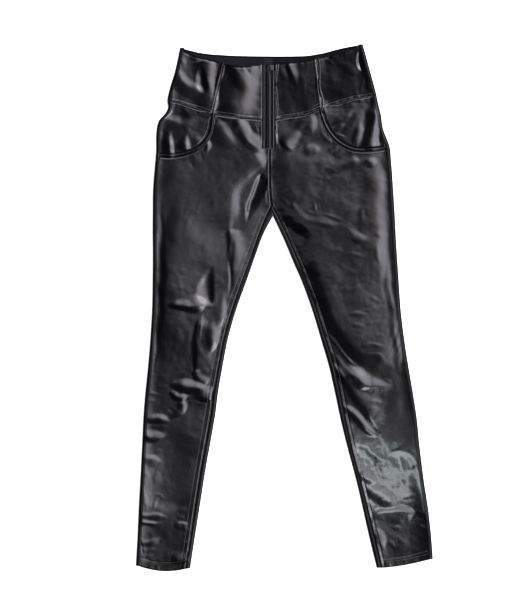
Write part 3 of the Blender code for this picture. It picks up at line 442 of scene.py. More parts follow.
    Fold(((170, -318), (206, -322)), 7, 8, 0.26),
    Fold(((180, -366), (214, -360)), 7, 8, 0.29),
    Fold(((232, -296), (238, -330)), 8, 6, 0.29),
    Fold(((206, -298), (218, -322)), 5, 6, 0.33),
    Fold(((164, -382), (178, -402)), 6, 6, 0.33),
    Fold(((186, -392), (204, -384)), 6, 6, 0.29),
    Fold(((200, -432), (262, -412)), 5, 8, 0.33),
    Fold(((214, -442), (236, -438)), 7, 8, 0.26),
    Fold(((226, -456), (252, -482)), 10, 12, 0.2),
    Fold(((290, -436), (292, -478)), 4, 5, 0.26),
    Fold(((262, -432), (284, -446)), 6, 7, 0.26),
    Fold(((204, -466), (222, -480)), 7, 7, 0.26),
    Fold(((236, -384), (262, -372)), 7, 7, 0.2),
    Fold(((160, -300), (172, -324)), 8, 8, 0.23),
)

# Where the cloth is pulled smooth (change below 0) or is dull (change above 0), and how far. Where it
# is dull, the base colour is also made paler as a painted highlight.
GLOSSES = (
    Gloss(130, 455, 60, 45, -0.08), Gloss(20, 430, 45, 45, -0.03),
    Gloss(-205, 345, 60, 45, -0.05), Gloss(120, 190, 110, 150, -0.05),
    Gloss(-160, 200, 70, 110, 0.04), Gloss(-215, -340, 60, 120, 0.04),
    Gloss(205, -345, 60, 60, 0.035), Gloss(250, -480, 60, 45, -0.04),
    Gloss(35, 150, 40, 100, -0.07),
)

# Where the cloth is finely crumpled.
CRUMPLES = (
    Crumple(205, -345, 60, 60, 0.55), Crumple(-255, -340, 50, 110, 0.2),
    Crumple(-120, 210, 80, 90, 0.2),
    Crumple(60, 340, 60, 40, 0.2),
)

# Soft troughs of the underside between the places that it rests on.
UNDER_FOLDS = (
    Fold(((-250, 120), (-170, 158), (-90, 176)), 14, 14, 0.91),
    Fold(((-236, 60), (-180, 70), (-120, 96)), 12, 12, 0.72),
    Fold(((-262, -120), (-206, -122), (-150, -136)), 12, 12, 0.85),
    Fold(((-254, -150), (-206, -164), (-160, -158)), 14, 14, 0.98),
    Fold(((-266, -176), (-220, -180), (-176, -196)), 11, 11, 0.78),
    Fold(((-280, -300), (-234, -304), (-190, -320)), 13, 13, 0.78),
    Fold(((-284, -380), (-244, -382), (-206, -372)), 12, 12, 0.65),
    Fold(((-276, -440), (-242, -444), (-210, -456)), 10, 10, 0.65),
    Fold(((30, 176), (108, 140), (196, 120)), 14, 14, 0.91),
    Fold(((66, 90), (134, 86), (200, 66)), 12, 12, 0.72),
    Fold(((110, -120), (168, -132), (226, -134)), 12, 12, 0.85),
    Fold(((118, -148), (176, -146), (232, -160)), 14, 14, 0.98),
    Fold(((132, -180), (178, -196), (226, -198)), 11, 11, 0.78),
    Fold(((160, -300), (210, -302), (256, -316)), 13, 13, 0.78),
    Fold(((176, -372), (218, -376), (262, -366)), 12, 12, 0.65),
    Fold(((186, -436), (230, -440), (270, -452)), 10, 10, 0.65),
)

TACKS = (
    Tack(-37, 318.6, -24, 318.6, 0.7), Tack(-42.6, 377, -41.6, 370, 0.2),
    Tack(-253, 302, -252, 309, 0.1), Tack(198.6, 315, 199.6, 327, 0.2),
    Tack(54, 396, 86, 409, 0.1), Tack(56, 403, 74, 410, 0.1),
)

# ---------------------------------------------------------------- looks and studio

PAINTED_HIGHLIGHT_RATE = 30.0                  # how fast the dull places turn the base colour to the painted highlight colour
PAPER = (0.92, 0.92, 0.92)
PAPER_GLOW = 0.55
FLOOR_DROP = 0.0004
WALL_STRENGTH = 4.8
KEY_WAY = (0.84, 0.54)        # plan direction in which the ceiling is read
WALL_SHADE = (0.05, 0.05, 0.05)
CEILING_TINT = (0.99, 0.96, 1.05)
CEILING = ((0.42, 0.001), (0.47, 0.012), (0.51, 0.052), (0.56, 0.29), (0.62, 0.8),
           (0.72, 0.92), (0.82, 0.14), (0.92, 0.02))
WALLS = ((0.50, 1.0), (0.66, 0.0))
EXPOSURE = 0.25
GAMMA = 0.88
FRAME_LENGTH = 1.224          # what the camera sees along the legs, at FRAME_LEVEL
FRAME_LEVEL = 0.009
FRAME_X = -43.8 * MM
FRAME_Y = 3.6 * MM
SOFTBOXES = (
    Softbox("key_softbox", (1.9, 1.75, 3.3), (0.0, 0.1, 0.0), (1.7, 1.5), 0, "key",
            (1.0, 0.95, 1.08)),
    Softbox("fill_softbox", (1.3, -1.1, 3.1), (0.0, -0.1, 0.0), (0.9, 1.2), 0, "fill",
            (0.92, 1.0, 0.99)),
    Softbox("low_softbox", (0.206, -0.346, 0.42), (0.206, -0.345, 0.0), (0.14, 0.05), -42, "low",
            (0.92, 1.0, 1.02)),
    Softbox("leg_softbox", (-0.18, 0.12, 1.2), (-0.165, 0.121, 0.0), (0.18, 0.5), 0, "leg",
            (1.0, 0.97, 1.05)),
)

INWARD = {"left": 1, "right": -1}
SIDES = ("left", "right")


# ---------------------------------------------------------------- curves of the cut

def mix(a, b, t):
    return a + (b - a) * t


def ease(t):
    t = np.clip(t, 0.0, 1.0)
    return t * t * (3 - 2 * t)


def bell(value, width):
    return np.exp(-(value / width) ** 2)


def smooth_curve(rows, key, value):
    """A smooth function of key through the rows, straight past both ends; in metres."""
    pairs = sorted((getattr(row, key) * MM, getattr(row, value) * MM) for row in rows)
    keys, values = (np.array(column) for column in zip(*pairs))
    steps = np.diff(values) / np.diff(keys)
    slopes = np.concatenate((steps[:1], (steps[1:] + steps[:-1]) / 2, steps[-1:]))

    def curve(at):
        i = np.clip(np.searchsorted(keys, at, side="right") - 1, 0, len(keys) - 2)
        span = keys[i + 1] - keys[i]
        past = (at - keys[i]) / span
        t = np.clip(past, 0.0, 1.0)
        rest = 1 - t
        inside = (values[i] * rest * rest * (1 + 2 * t) + values[i + 1] * t * t * (3 - 2 * t)
                  + span * t * rest * (slopes[i] * rest - slopes[i + 1] * t))
        return inside + (past - t) * span * np.where(past < 0, slopes[i], slopes[i + 1])

    return curve


INNER = {side: smooth_curve(rows, "up", "inner") for side, rows in LEGS.items()}
INSEAM = {side: smooth_curve(rows, "up", "inseam") for side, rows in LEGS.items()}
OUTER = {side: smooth_curve(LEGS[side] + HIPS[side], "up", "outer") for side in LEGS}
middle_height = smooth_curve(HEIGHTS, "up", "middle")
edge_height = smooth_curve(HEIGHTS, "up", "edge")
yoke_seam = smooth_curve(YOKE_SEAM, "x", "y")
front_waist = smooth_curve(FRONT_WAIST, "x", "y")
back_waist = smooth_curve(BACK_WAIST, "x", "y")


def points(x, y):
    return np.stack(np.broadcast_arrays(x, y), axis=-1).astype(float)


def side_distance(x, y):
    """Distance from plan points to the nearer outer outline."""
    return np.minimum(x - OUTER["left"](y), OUTER["right"](y) - x)


def edge_distance(x, y):
    """Distance from plan points to the nearest outline."""
    outer = side_distance(x, y)
    inner = np.where(y >= CROTCH_UP, np.hypot(x - CROTCH_X, y - CROTCH_UP),
                     np.maximum(INNER["left"](y) - x, x - INNER["right"](y)))
    return np.minimum(outer, inner)


def through(corners, steps=12):
    """A fine line of points on a smooth curve through a few points."""
    ends = np.array([corners[0], *corners, corners[-1]], float)
    line = []
    for p0, p1, p2, p3 in zip(ends, ends[1:], ends[2:], ends[3:]):
        for t in np.arange(steps) / steps:
            line.append(0.5 * (2 * p1 + (p2 - p0) * t + (2 * p0 - 5 * p1 + 4 * p2 - p3) * t ** 2
                               + (3 * p1 - p0 - 3 * p2 + p3) * t ** 3))
    return np.array(line + [ends[-1]])


def wander(places):
    """Places shifted a little, so that no fold runs quite evenly."""
    x, y = places[:, 0] / MM, places[:, 1] / MM
    shift = np.column_stack((np.sin(y / 13 + 2 * np.sin(x / 19)), np.sin(x / 11 + 2 * np.sin(y / 17))))
    return places + WANDER * shift


def fold_height(fold, x, y):
    """A ridge or trough along a smooth route, with its own width to either side."""
    x, y = np.broadcast_arrays(x, y)
    line = through(np.array(fold.route) * MM, 5)
    reach = (max(fold.left, fold.right) + 3) * MM
    low, high = line.min(axis=0) - reach, line.max(axis=0) + reach
    near = (x > low[0]) & (x < high[0]) & (y > low[1]) & (y < high[1])
    height = np.zeros(x.shape)
    if not near.any():
        return height
    places = wander(np.column_stack((x[near], y[near])))
    nearest = np.full(len(places), np.inf)
    across, share = np.zeros((2, len(places)))
    steps = np.diff(line, axis=0)
    lengths = np.linalg.norm(steps, axis=1)
    passed = np.concatenate(([0.0], np.cumsum(lengths)))
    for start, step, length, before in zip(line, steps, lengths, passed):
        away = places - start
        t = np.clip(away @ step / length ** 2, 0.0, 1.0)
        distance = np.linalg.norm(away - t[:, None] * step, axis=1)
        closer = distance < nearest
        nearest = np.where(closer, distance, nearest)
        turned = step[0] * away[:, 1] - step[1] * away[:, 0]
        across = np.where(closer, np.where(turned > 0, distance, -distance), across)
        share = np.where(closer, (before + t * length) / passed[-1], share)
    size = ease(share / fold.grow) * ease((1 - share) / fold.fade)
    width = np.where(across > 0, fold.left, fold.right) * MM * (0.35 + 0.65 * size)
    q = np.minimum(nearest / width, 1.0)
    sharp = 1 - (np.sqrt(q * q + CREST_ROUND ** 2) - CREST_ROUND) / (
        math.hypot(1.0, CREST_ROUND) - CREST_ROUND)
    height[near] = fold.rise * MM * size * mix((1 - q * q) ** 2, sharp ** 2, fold.crest)
    return height


def top_height(x, y):
    """Height of the solids' upper face above the surface that the garment lies on."""
    inside = np.maximum(edge_distance(x, y), 0.0)
    folds = sum(fold_height(fold, x, y) for fold in FOLDS)
    calm = 1 - 0.6 * bell(inside, 2 * ROLL)
    body = mix(middle_height(y), edge_height(y), bell(inside, EDGE_FADE))
    body = body + WELT * bell(np.maximum(side_distance(x, y), 0.0), WELT_WIDTH)
    return np.maximum(body + folds * calm, LOWEST)


def ripple(x, y, size, seed, octaves=3):
    """Smooth noise over a grid of plan points."""
    flat = [noise.fractal((a / size, b / size, seed), 1.0, 2.0, octaves)
            for a, b in zip(x.ravel(), y.ravel())]
    return np.array(flat).reshape(x.shape)


def finer_folds(x, y):
    """What the cloth adds to the solids' upper face: creases and a soft unevenness."""
    calm = 1 - 0.8 * bell(np.maximum(edge_distance(x, y), 0.0), 2 * ROLL)
    creases = sum(fold_height(fold, x, y) for fold in CREASES)
    crumpled = sum(spot.rise * bell(np.hypot((x / MM - spot.x) / spot.across,
                                             (y / MM - spot.y) / spot.along), 1.0)
                   for spot in CRUMPLES)
    uneven = 0.7 * ripple(x, y, 70 * MM, 3.1, 4) + crumpled * ripple(x, y, 34 * MM, 7.7, 3)
    return (creases + uneven * MM) * calm


def wall_at(side, y):
    hem = mix(HEMS[side].inner_up, HEMS[side].outer_up, 0.5) * MM
    return mix(HEM_CLOTH, CLOTH, ease((y - hem - HEM_DEPTH) / (3 * MM)))


# ---------------------------------------------------------------- lines and grids

def resample(line, at):
    """Points at shares of a line's length."""
    line = np.asarray(line)
    reach = np.concatenate(([0.0], np.cumsum(np.linalg.norm(np.diff(line, axis=0), axis=1))))
    return np.stack([np.interp(np.asarray(at) * reach[-1], reach, line[:, k])
                     for k in range(line.shape[1])], axis=-1)


def spread(length, cell, ends="both", extra=()):
    """Shares of a length, fine near its ends and cell apart between them."""
    fine = np.array(FINE_STEPS) * MM / length
    low = fine if ends in ("both", "low") else np.zeros(1)
    high = fine if ends in ("both", "high") else np.zeros(1)
    count = max(2, round((1 - low[-1] - high[-1]) * length / cell))
    middle = np.linspace(low[-1], 1 - high[-1], count + 1)
    return np.unique(np.round(np.concatenate((low, middle, 1 - high, extra)), 6))


def fill_patch(bottom, top, left, right, u, v):
    """A grid of plan points between four edges that share their corners."""
    u = u[None, :, None]
    v = v[:, None, None]
    ruled = mix(bottom[None], top[None], v) + mix(left[:, None], right[:, None], u)
    corners = mix(mix(bottom[0], bottom[-1], u), mix(top[0], top[-1], u), v)
    return ruled - corners


def side_seam(side, y, gap=0.0):
    return points(OUTER[side](y) + INWARD[side] * (SIDE_SEAM + gap), y)


def seam_level(side):
    return float(yoke_seam(side_seam(side, YOKE_SEAM[0].y * MM)[0]))


def waist_level(side):
    return float(front_waist(side_seam(side, FRONT_WAIST[0].y * MM)[0]))


def leg_row(side, v):
    """Inner outline, inseam and outer outline of a leg, from the hem (0) to the crotch (1)."""
    hem = HEMS[side]
    inner_y = mix(hem.inner_up * MM, CROTCH_UP, v)
    outer_y = mix(hem.outer_up * MM, SIDE_AT_CROTCH, v)
    turn = v ** SEAM_TURN
    apart = INWARD[side] * SEAM_GAP / 2
    inner = points(INNER[side](inner_y) - turn * apart, inner_y)
    seam = points(mix(inner[..., 0] - INWARD[side] * INSEAM[side](inner_y),
                      CROTCH_SEAM_X - apart, turn),
                  mix(inner_y, CROTCH_SEAM_UP, turn))
    return inner, seam, points(OUTER[side](outer_y), outer_y)


def hem_bow(side, v, u):
    return HEMS[side].bow * MM * 4 * u * (1 - u) * np.maximum(0.0, 1 - v * 9) ** 2


def pocket_line(side, offset):
    """The pocket opening moved sideways by offset, towards the leg where positive."""
    line = resample(through(np.array(POCKETS[side]) * MM), np.linspace(0, 1, 61))
    way = np.gradient(line, axis=0)
    way /= np.linalg.norm(way, axis=1, keepdims=True)
    line = line + INWARD[side] * offset * points(way[:, 1], -way[:, 0])
    line[0] = side_seam(side, line[0, 1], 2 * SEAM_GAP)
    line[-1, 1] = yoke_seam(line[-1, 0]) - SEAM_GAP
    return line


# ---------------------------------------------------------------- panels

Panel = namedtuple("Panel", "outer inner reach")


def reaches(plan):
    """Distance of each point of a grid to its four edges, along the grid."""
    across = np.linalg.norm(np.diff(plan, axis=1), axis=2)
    along = np.linalg.norm(np.diff(plan, axis=0), axis=2)
    left = np.pad(np.cumsum(across, axis=1), ((0, 0), (1, 0)))
    bottom = np.pad(np.cumsum(along, axis=0), ((1, 0), (0, 0)))
    return {"left": left, "right": left[:, -1:] - left,
            "bottom": bottom, "top": bottom[-1:] - bottom}


def sewn_relief(reach, edges):
    """Grooves, puffed cloth, dents of the stitches and puckers along sewn edges."""
    relief = 0.0
    for name, edge in edges.items():
        away = reach[name]
        along = reach["bottom" if name in ("left", "right") else "left"]
        wave = ripple(along, away * 0.3, 11 * MM, edge.seed, 2)
        relief = relief - edge.groove * MM * bell(away, GROOVE_WIDTH)
        relief = relief + edge.puff * MM * bell(away - PUFF_AT, PUFF_WIDTH)
        relief = relief + edge.pucker * MM * wave * bell(away, PUCKER_REACH) * ease(away / (2 * MM))
        if edge.stitch:
            there = ease((edge.below - along) / (10 * MM))
            relief = relief - DENT * there * bell(away - edge.stitch, DENT_WIDTH)
    return relief


def front_panel(plan, edges, raise_by=0.0, wall=CLOTH):
    """A front piece lifted onto the upper face, with its creases and sewn edges."""
    x, y = plan[..., 0], plan[..., 1]
    reach = reaches(plan)
    base = top_height(x, y) + raise_by + finer_folds(x, y)
    height = np.maximum(base + sewn_relief(reach, edges), LEAST_HEIGHT + raise_by)
    under = np.minimum(base - wall, height - LEAST_WALL)
    return Panel(np.dstack((x, y, height)), np.dstack((x, y, under)), reach)


def shell_faces(outer):
    """Faces of one closed shell between two grids; a cell with a missing point is open."""
    rows, columns = outer.shape[:2]
    there = ~np.isnan(outer[..., 0])
    number = np.full((rows, columns), -1)
    number[there] = np.arange(there.sum())
    quads = np.stack((number[:-1, :-1], number[:-1, 1:], number[1:, 1:], number[1:, :-1]), axis=-1)
    quads = quads[(quads >= 0).all(axis=-1)]
    count = int(there.sum())
    sides = np.concatenate([quads[:, (k, (k + 1) % 4)] for k in range(4)])
    known = set(map(tuple, sides.tolist()))
    rim = [(b, a, a + count, b + count) for a, b in known if (b, a) not in known]
    return there, quads.tolist() + (quads[:, ::-1] + count).tolist() + rim, len(quads)


def plan_turn(grid):
    """Positive where the grid's columns and rows turn anticlockwise seen from above."""
    across = grid[0, -1, :2] - grid[0, 0, :2]
    along = grid[-1, 0, :2] - grid[0, 0, :2]
    return across[0] * along[1] - across[1] * along[0]


SHIFT = np.array(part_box("waist_label")[0]) - (LABEL_X - LABEL_WIDTH / 2,
                                              LABEL_TOP - LABEL_LENGTH, 0.0)
SHIFT[2] = 0.0


def deselect():
    for thing in bpy.context.selected_objects:
        thing.select_set(False)


def new_piece(name, places, faces, finishes, smooth_angle=40):
    """A mesh object in the row frame, riding the garment's one body."""
    mesh = bpy.data.meshes.new(name)
    mesh.from_pydata((np.asarray(places, float) + SHIFT).tolist(), [], faces)
    for finish in finishes:
        mesh.materials.append(finish)
    mesh.shade_smooth()
    mesh.set_sharp_from_angle(angle=math.radians(smooth_angle))
    piece = bpy.data.objects.new(name, mesh)
    bpy.context.collection.objects.link(piece)
    return piece


def make_shell(name, panel, finishes, turn=None):
    """A cloth piece from a panel: coated side outwards, backing inwards where it has one."""
    outer, inner = panel.outer, panel.inner
    turn = plan_turn(outer) if turn is None else turn
    if turn < 0:
        outer, inner = outer[:, ::-1], inner[:, ::-1]
    there, faces, coated = shell_faces(outer)
    piece = new_piece(name, np.concatenate((outer[there], inner[there])), faces, finishes)
    if len(finishes) > 1:
        side = np.zeros(len(faces), dtype=np.int32)
        side[coated:2 * coated] = 1
        piece.data.polygons.foreach_set("material_index", side)
    return piece


def cell_area(grid):
    a = grid[1:, 1:] - grid[:-1, :-1]
    b = grid[1:, :-1] - grid[:-1, 1:]
    return float(np.nansum(np.linalg.norm(np.cross(a, b), axis=-1)) / 2)


def lay(piece, panel, node):
    """Attach a laid sheet to the garment's one body and hide the node that it replaces. Its size (as
    modelled, or NARROWEST where a strip is narrower) and its area are worked out but not used.
    """
    outer = panel.outer
    across = np.nansum(np.linalg.norm(np.diff(outer, axis=1), axis=2), axis=1).max()
    along = np.nansum(np.linalg.norm(np.diff(outer, axis=0), axis=2), axis=0).max()
    width, length = sorted((max(across, NARROWEST), max(along, NARROWEST)))
    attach(piece, "root")
    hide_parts(node)
    area = min(cell_area(outer), width * length)


# ---------------------------------------------------------------- plans of the pieces

@cache
def front_leg(side):
    """Front leg: from the hem to the pocket opening, the zip and the yoke seam."""
    sign, gap = INWARD[side], SEAM_GAP
    v = spread(LEG_GRID, CELL, "low", (HEM_DEPTH / LEG_GRID - 0.002, HEM_DEPTH / LEG_GRID + 0.002))
    u = spread(170 * MM, CELL, "both", (POCKET_SHARE,))
    _, seam, outline = leg_row(side, v)
    start = side_seam(side, outline[:, 1], gap)
    end = seam + points(-sign * gap, gap * v ** SEAM_TURN)
    leg = mix(start[:, None], end[:, None], u[None, :, None])
    leg[..., 1] -= hem_bow(side, v[:, None], u[None, :])
    pocket = pocket_line(side, BINDING_WIDTH / 2 + gap)
    zip_edge = (ZIP_LEFT if side == "left" else ZIP_RIGHT) - sign * gap
    yoke_x = mix(pocket[-1, 0], zip_edge, np.clip((u - POCKET_SHARE) / (1 - POCKET_SHARE), 0, 1))
    top = np.where(u[:, None] < POCKET_SHARE, resample(pocket, np.clip(u / POCKET_SHARE, 0, 1)),
                   points(yoke_x, yoke_seam(yoke_x) - gap))
    centre_x = CENTRE_X - sign * gap / 2
    crotch = leg[-1, -1]
    curve = through([crotch, (mix(centre_x, crotch[0], 0.35), 226 * MM), (centre_x, 262 * MM),
                     (centre_x, ZIP_BOTTOM - gap)])
    low = np.linspace(0, 1, 42)
    high = spread(top[-1, 1] - ZIP_BOTTOM, CELL, "high")
    right = np.concatenate((resample(curve, low),
                            points(zip_edge, mix(ZIP_BOTTOM - gap, top[-1, 1], high))))
    w = np.concatenate((low * 0.64, mix(0.66, 1.0, high)))
    left = side_seam(side, mix(leg[-1, 0, 1], top[0, 1], w), gap)
    left[:, 0] += sign * gap * w
    left[0], left[-1] = leg[-1, 0], top[0]
    patch = fill_patch(leg[-1], top, left, right, u, w)
    plan = np.concatenate((leg, patch[1:]))
    edges = {
        "left": Edge(0.0, 0.0, 0.1, 1.0 + sign),
        "right": Edge(1.1, 0.2, 0.4, 5.0 + sign, INSEAM_ROW[side], INSEAM_DENTED),
        "bottom": Edge(0.9, 0.1, 0.5, 9.0 + sign, HEM_DEPTH),
        "top": Edge(0.9, 0.15, 0.3, 13.0 + sign),
    }
    return front_panel(plan, edges, wall=wall_at(side, plan[..., 1]))


@cache
def hip_panel(side):
    """Panel that shows inside the pocket opening and passes just under its binding."""
    line = pocket_line(side, 0.0)
    split = 0.6
    u = spread(90 * MM, CELL)
    v = spread(90 * MM, CELL)
    bottom = resample(line, u * split)
    inner = resample(line, mix(split, 1.0, v))
    outer = side_seam(side, mix(bottom[0, 1], seam_level(side) - SEAM_GAP, v), SEAM_GAP)
    outer[0] = bottom[0]
    top_x = mix(outer[-1, 0], inner[-1, 0], u)
    top = points(top_x, yoke_seam(top_x) - SEAM_GAP)
    plan = fill_patch(bottom, top, outer, inner, u, v)
    gaps = np.linalg.norm(plan[:, :, None] - line[None, None], axis=-1).min(axis=-1)
    sink = -POCKET_DROP * (1 - ease((gaps - BINDING_WIDTH / 2 - MM) / POCKET_FADE))
    edges = {"left": Edge(0.0, 0.0, 0.2, 21.0), "top": Edge(0.9, 0.15, 0.4, 23.0)}
    return front_panel(plan, edges, raise_by=sink)


@cache
def pocket_binding(side):
    """Thick folded edge of the pocket opening: a rounded roll a little proud of the leg."""
    share = np.linspace(0, 1, 70)
    lanes = []
    for turn in np.linspace(-1, 1, 11):
        line = resample(pocket_line(side, turn * BINDING_WIDTH / 2), share)
        rise = BINDING_RISE * (1.5 * math.sqrt(max(0.0, 1 - turn * turn)) - 0.45)
        x, y = line[:, 0], line[:, 1]
        base = top_height(x, y) + finer_folds(x, y)
        lanes.append(np.column_stack((x, y, base + rise, base - BINDING_UNDER)))
    both = np.array(lanes).transpose(1, 0, 2)
    outer, inner = both[..., :3], both[..., (0, 1, 3)]
    return Panel(outer, inner, reaches(outer[..., :2]))


@cache
def yoke_panel(name):
    """One piece of the front yoke between two upright edges."""
    part, side = name.split("_")
    half = SEAM_GAP / 2
    sign = INWARD[side]
    dart_low, dart_high = (value * MM for value in DARTS[side])
    v = spread(100 * MM, CELL)
    edge_side = part == "side"
    if edge_side:
        level = mix(seam_level(side), waist_level(side), v)
        far = side_seam(side, level, SEAM_GAP)
        low, high = dart_low - sign * half, dart_high - sign * half
    else:
        zip_edge = (ZIP_LEFT if side == "left" else ZIP_RIGHT) - sign * SEAM_GAP
        far = points(zip_edge, mix(yoke_seam(zip_edge) + half, front_waist(zip_edge), v))
        low, high = dart_low + sign * half, dart_high + sign * half
    near = mix(points(low, yoke_seam(low) + half), points(high, front_waist(high)), v[:, None])
    u = spread(float(np.linalg.norm(near[0] - far[0])), CELL)
    bottom_x = mix(near[0, 0], far[0, 0], u)
    top_x = mix(near[-1, 0], far[-1, 0], u)
    bottom = points(bottom_x, yoke_seam(bottom_x) + half)
    top = points(top_x, front_waist(top_x))
    far[0], far[-1] = bottom[-1], top[-1]
    plan = fill_patch(bottom, top, near, far, u, v)
    seed = 31.0 + 4 * ("side" in name) + sign
    edges = {
        "left": Edge(0.6, 0.0, 0.3, seed),
        "right": Edge(0.0 if edge_side else 1.0, 0.0, 0.3, seed + 1.3),
        "bottom": Edge(1.0, 0.15, 0.4, seed + 2.1, YOKE_ROW),
        "top": Edge(-0.8, -0.2, 0.5, seed + 3.7),
    }
    return front_panel(plan, edges)


def wrap(edge, toward, side, groove=0.0, arc=10, strip=5):
    """Outer and inner points from a front seam over a rounded outline to the underside."""
    way = toward - edge
    reach = np.linalg.norm(way, axis=-1, keepdims=True)
    way = way / reach
    middle = edge + way * ROLL
    wall = wall_at(side, edge[:, 1])
    steps = np.linspace(0, 1, strip + 1)[:-1]
    outer, inner = [], []
    for step in steps:
        place = mix(toward, middle, step)
        seam_away = np.linalg.norm(place - toward, axis=-1)
        x, y = place[:, 0], place[:, 1]
        base = top_height(x, y) + finer_folds(x, y)
        relief = -groove * bell(seam_away, GROOVE_WIDTH)
        outer.append(np.column_stack((x, y, base + relief)))
        inner.append(np.column_stack((x, y, np.minimum(base - wall, base + relief - LEAST_WALL))))
    x, y = middle[:, 0], middle[:, 1]
    top = top_height(x, y) + finer_folds(x, y)
    half = top / 2
    for turn in np.linspace(0, math.pi, arc + 1):
        back = ROLL * math.sin(turn)
        outer.append(np.column_stack((x - way[:, 0] * back, y - way[:, 1] * back,
                                      half + half * math.cos(turn))))
        back = (ROLL - wall) * math.sin(turn)
        inner.append(np.column_stack((x - way[:, 0] * back, y - way[:, 1] * back,
                                      half + (half - wall) * math.cos(turn))))
    return outer, inner


def floor_strip(start, end, count, wall, bow=0.0):
    """Points of the underside between two lines, both left out."""
    outer, inner = [], []
    for step in range(1, count):
        place = mix(start, end, step / count)
        lower = bow * 4 * (step / count) * (1 - step / count)
        x, y = place[:, 0], place[:, 1] - lower
        lift = sum(fold_height(fold, x, y) for fold in UNDER_FOLDS)
        outer.append(np.column_stack((x, y, lift)))
        inner.append(np.column_stack((x, y, lift + wall)))
    return outer, inner


def back_yoke_seam(x):
    left, right = (side_seam(side, seam_level(side))[0] for side in SIDES)
    return mix(seam_level("left"), seam_level("right"), (x - left) / (right - left))


@cache
def back_leg(side):
    """Back leg: flat below, rolled round both outlines of the leg and ending at the seams."""
    v = spread(LEG_GRID, BACK_CELL, "low")
    edge, seam, outline = leg_row(side, v)
    end = side_seam(side, outline[:, 1])
    near = wrap(edge, seam, side, 1.1 * MM)
    far = wrap(outline, end, side)
    wall = wall_at(side, edge[:, 1])
    bow = hem_bow(side, v, 0.5)
    count = 16
    flat = floor_strip(near[0][-1][:, :2], far[0][-1][:, :2], count, wall, bow)
    level = spread(waist_level(side) - SIDE_AT_CROTCH, BACK_CELL, "high")
    side_y = mix(SIDE_AT_CROTCH, seam_level(side) - SEAM_GAP, level)[1:]
    start_y = mix(CROTCH_UP + ROLL, back_yoke_seam(CROTCH_X) - SEAM_GAP, level)[1:]
    start = points(CROTCH_X - INWARD[side] * SEAM_GAP / 2, start_y)
    up_far = wrap(points(OUTER[side](side_y), side_y), side_seam(side, side_y), side)
    up_flat = floor_strip(start, up_far[0][-1][:, :2], count, CLOTH)
    grids = []
    for k, z in ((0, 0.0), (1, CLOTH)):
        legs = np.stack(near[k] + flat[k] + far[k][::-1], axis=1)
        missing = [np.full((len(start), 3), np.nan)] * (len(near[k]) - 1)
        first = [np.column_stack((start, np.full(len(start), z)))]
        body = np.stack(missing + first + up_flat[k] + up_far[k][::-1], axis=1)
        grids.append(np.concatenate((legs, body)))
    return Panel(grids[0], grids[1], None)


@cache
def back_yoke():
    """Back yoke: flat below and rolled onto the front at both sides."""
    v = spread(130 * MM, 4 * MM)
    waist_share = 8 / 9
    ends = {}
    for side in SIDES:
        low, high = seam_level(side), waist_level(side)
        top = float(back_waist(OUTER[side](high)))
        level = np.where(v < waist_share, mix(low, high, v / waist_share),
                         mix(high, top, (v - waist_share) / (1 - waist_share)))
        ends[side] = wrap(points(OUTER[side](level), level), side_seam(side, level), side)
    start = ends["left"][0][-1][:, 0]
    end = ends["right"][0][-1][:, 0]
    grids = []
    for k, z in ((0, 0.0), (1, CLOTH)):
        flat = []
        for u in np.linspace(0, 1, 61)[1:-1]:
            x = mix(start, end, u)
            y = mix(back_yoke_seam(x), back_waist(x), v)
            flat.append(np.column_stack((x, y, np.full(len(x), z))))
        grids.append(np.stack(ends["left"][k] + flat + ends["right"][k][::-1], axis=1))
    return Panel(grids[0], grids[1], None)


def zip_strip(edges, top, bottom, rise, wall, columns, slope=lambda x: 0.0):
    """A narrow upright strip of the zip; edges gives its two sides from t = 0 to 1."""
    t = np.linspace(0, 1, 80)
    left, right = edges(t)
    u = np.linspace(0, 1, columns)
    x = mix(np.broadcast_to(left, t.shape)[:, None], np.broadcast_to(right, t.shape)[:, None], u)
    y = np.broadcast_to(mix(bottom, top, t)[:, None], x.shape)
    base = top_height(x, y) + rise + slope(x / MM) * MM
    round_off = 0.5 * MM * (1 - np.sqrt(1 - (2 * u - 1) ** 2 * 0.96))
    outer = np.dstack((x, y, base - round_off))
    inner = np.dstack((x, y, base - wall))
    return Panel(outer, inner, reaches(outer[..., :2]))


@cache
def zip_part(name):
    if name == "tape":
        return zip_strip(lambda t: (ZIP_LEFT - TAPE_UNDERLAP, ZIP_RIGHT + TAPE_UNDERLAP),
                         ZIP_TOP - 2 * MM, ZIP_BOTTOM - TAPE_UNDERLAP, -TAPE_DEPTH, TAPE_WALL, 12)
    if name == "lip_right":
        return zip_strip(lambda t: (SLIT_RIGHT, ZIP_RIGHT), SLIDER_BOTTOM, ZIP_BOTTOM,
                         LIP_RISE, LIP_WALL, 9, lambda x: 0.2 * bell(x + 23.4, 0.9))
    narrow = SLIDER_WIDTH / 2 - (SLIDER_X - SLIT_LEFT) + SLIDER_PLAY

    def left_edges(t):
        y = mix(ZIP_BOTTOM, ZIP_TOP, t)
        return ZIP_LEFT, SLIT_LEFT - narrow * ease((y - SLIDER_BOTTOM + 12 * MM) / (10 * MM))

    return zip_strip(left_edges, ZIP_TOP, ZIP_BOTTOM, LIP_RISE, LIP_WALL, 24,
                     lambda x: -0.9 * bell(x + 38.2, 1.1) + 0.2 * bell(x + 30.4, 0.9))


# ---------------------------------------------------------------- sewing

def row_along(panel, edge, away, low=0.0, high=1e9):
    """The line on a panel at a distance from one of its edges, between two lengths along it."""
    across = panel.reach[edge]
    along = panel.reach["bottom" if edge in ("left", "right") else "left"]
    grid = panel.outer
    if edge in ("top", "bottom"):
        grid, across, along = grid.transpose(1, 0, 2), across.T, along.T
    if across[0, 0] > across[0, -1]:
        grid, across, along = grid[:, ::-1], across[:, ::-1], along[:, ::-1]
    line = []
    for places, reach, length in zip(grid, across, along):
        if low <= np.interp(away, reach, length) <= high:
            line.append([np.interp(away, reach, places[:, k]) for k in range(3)])
    return np.array(line)


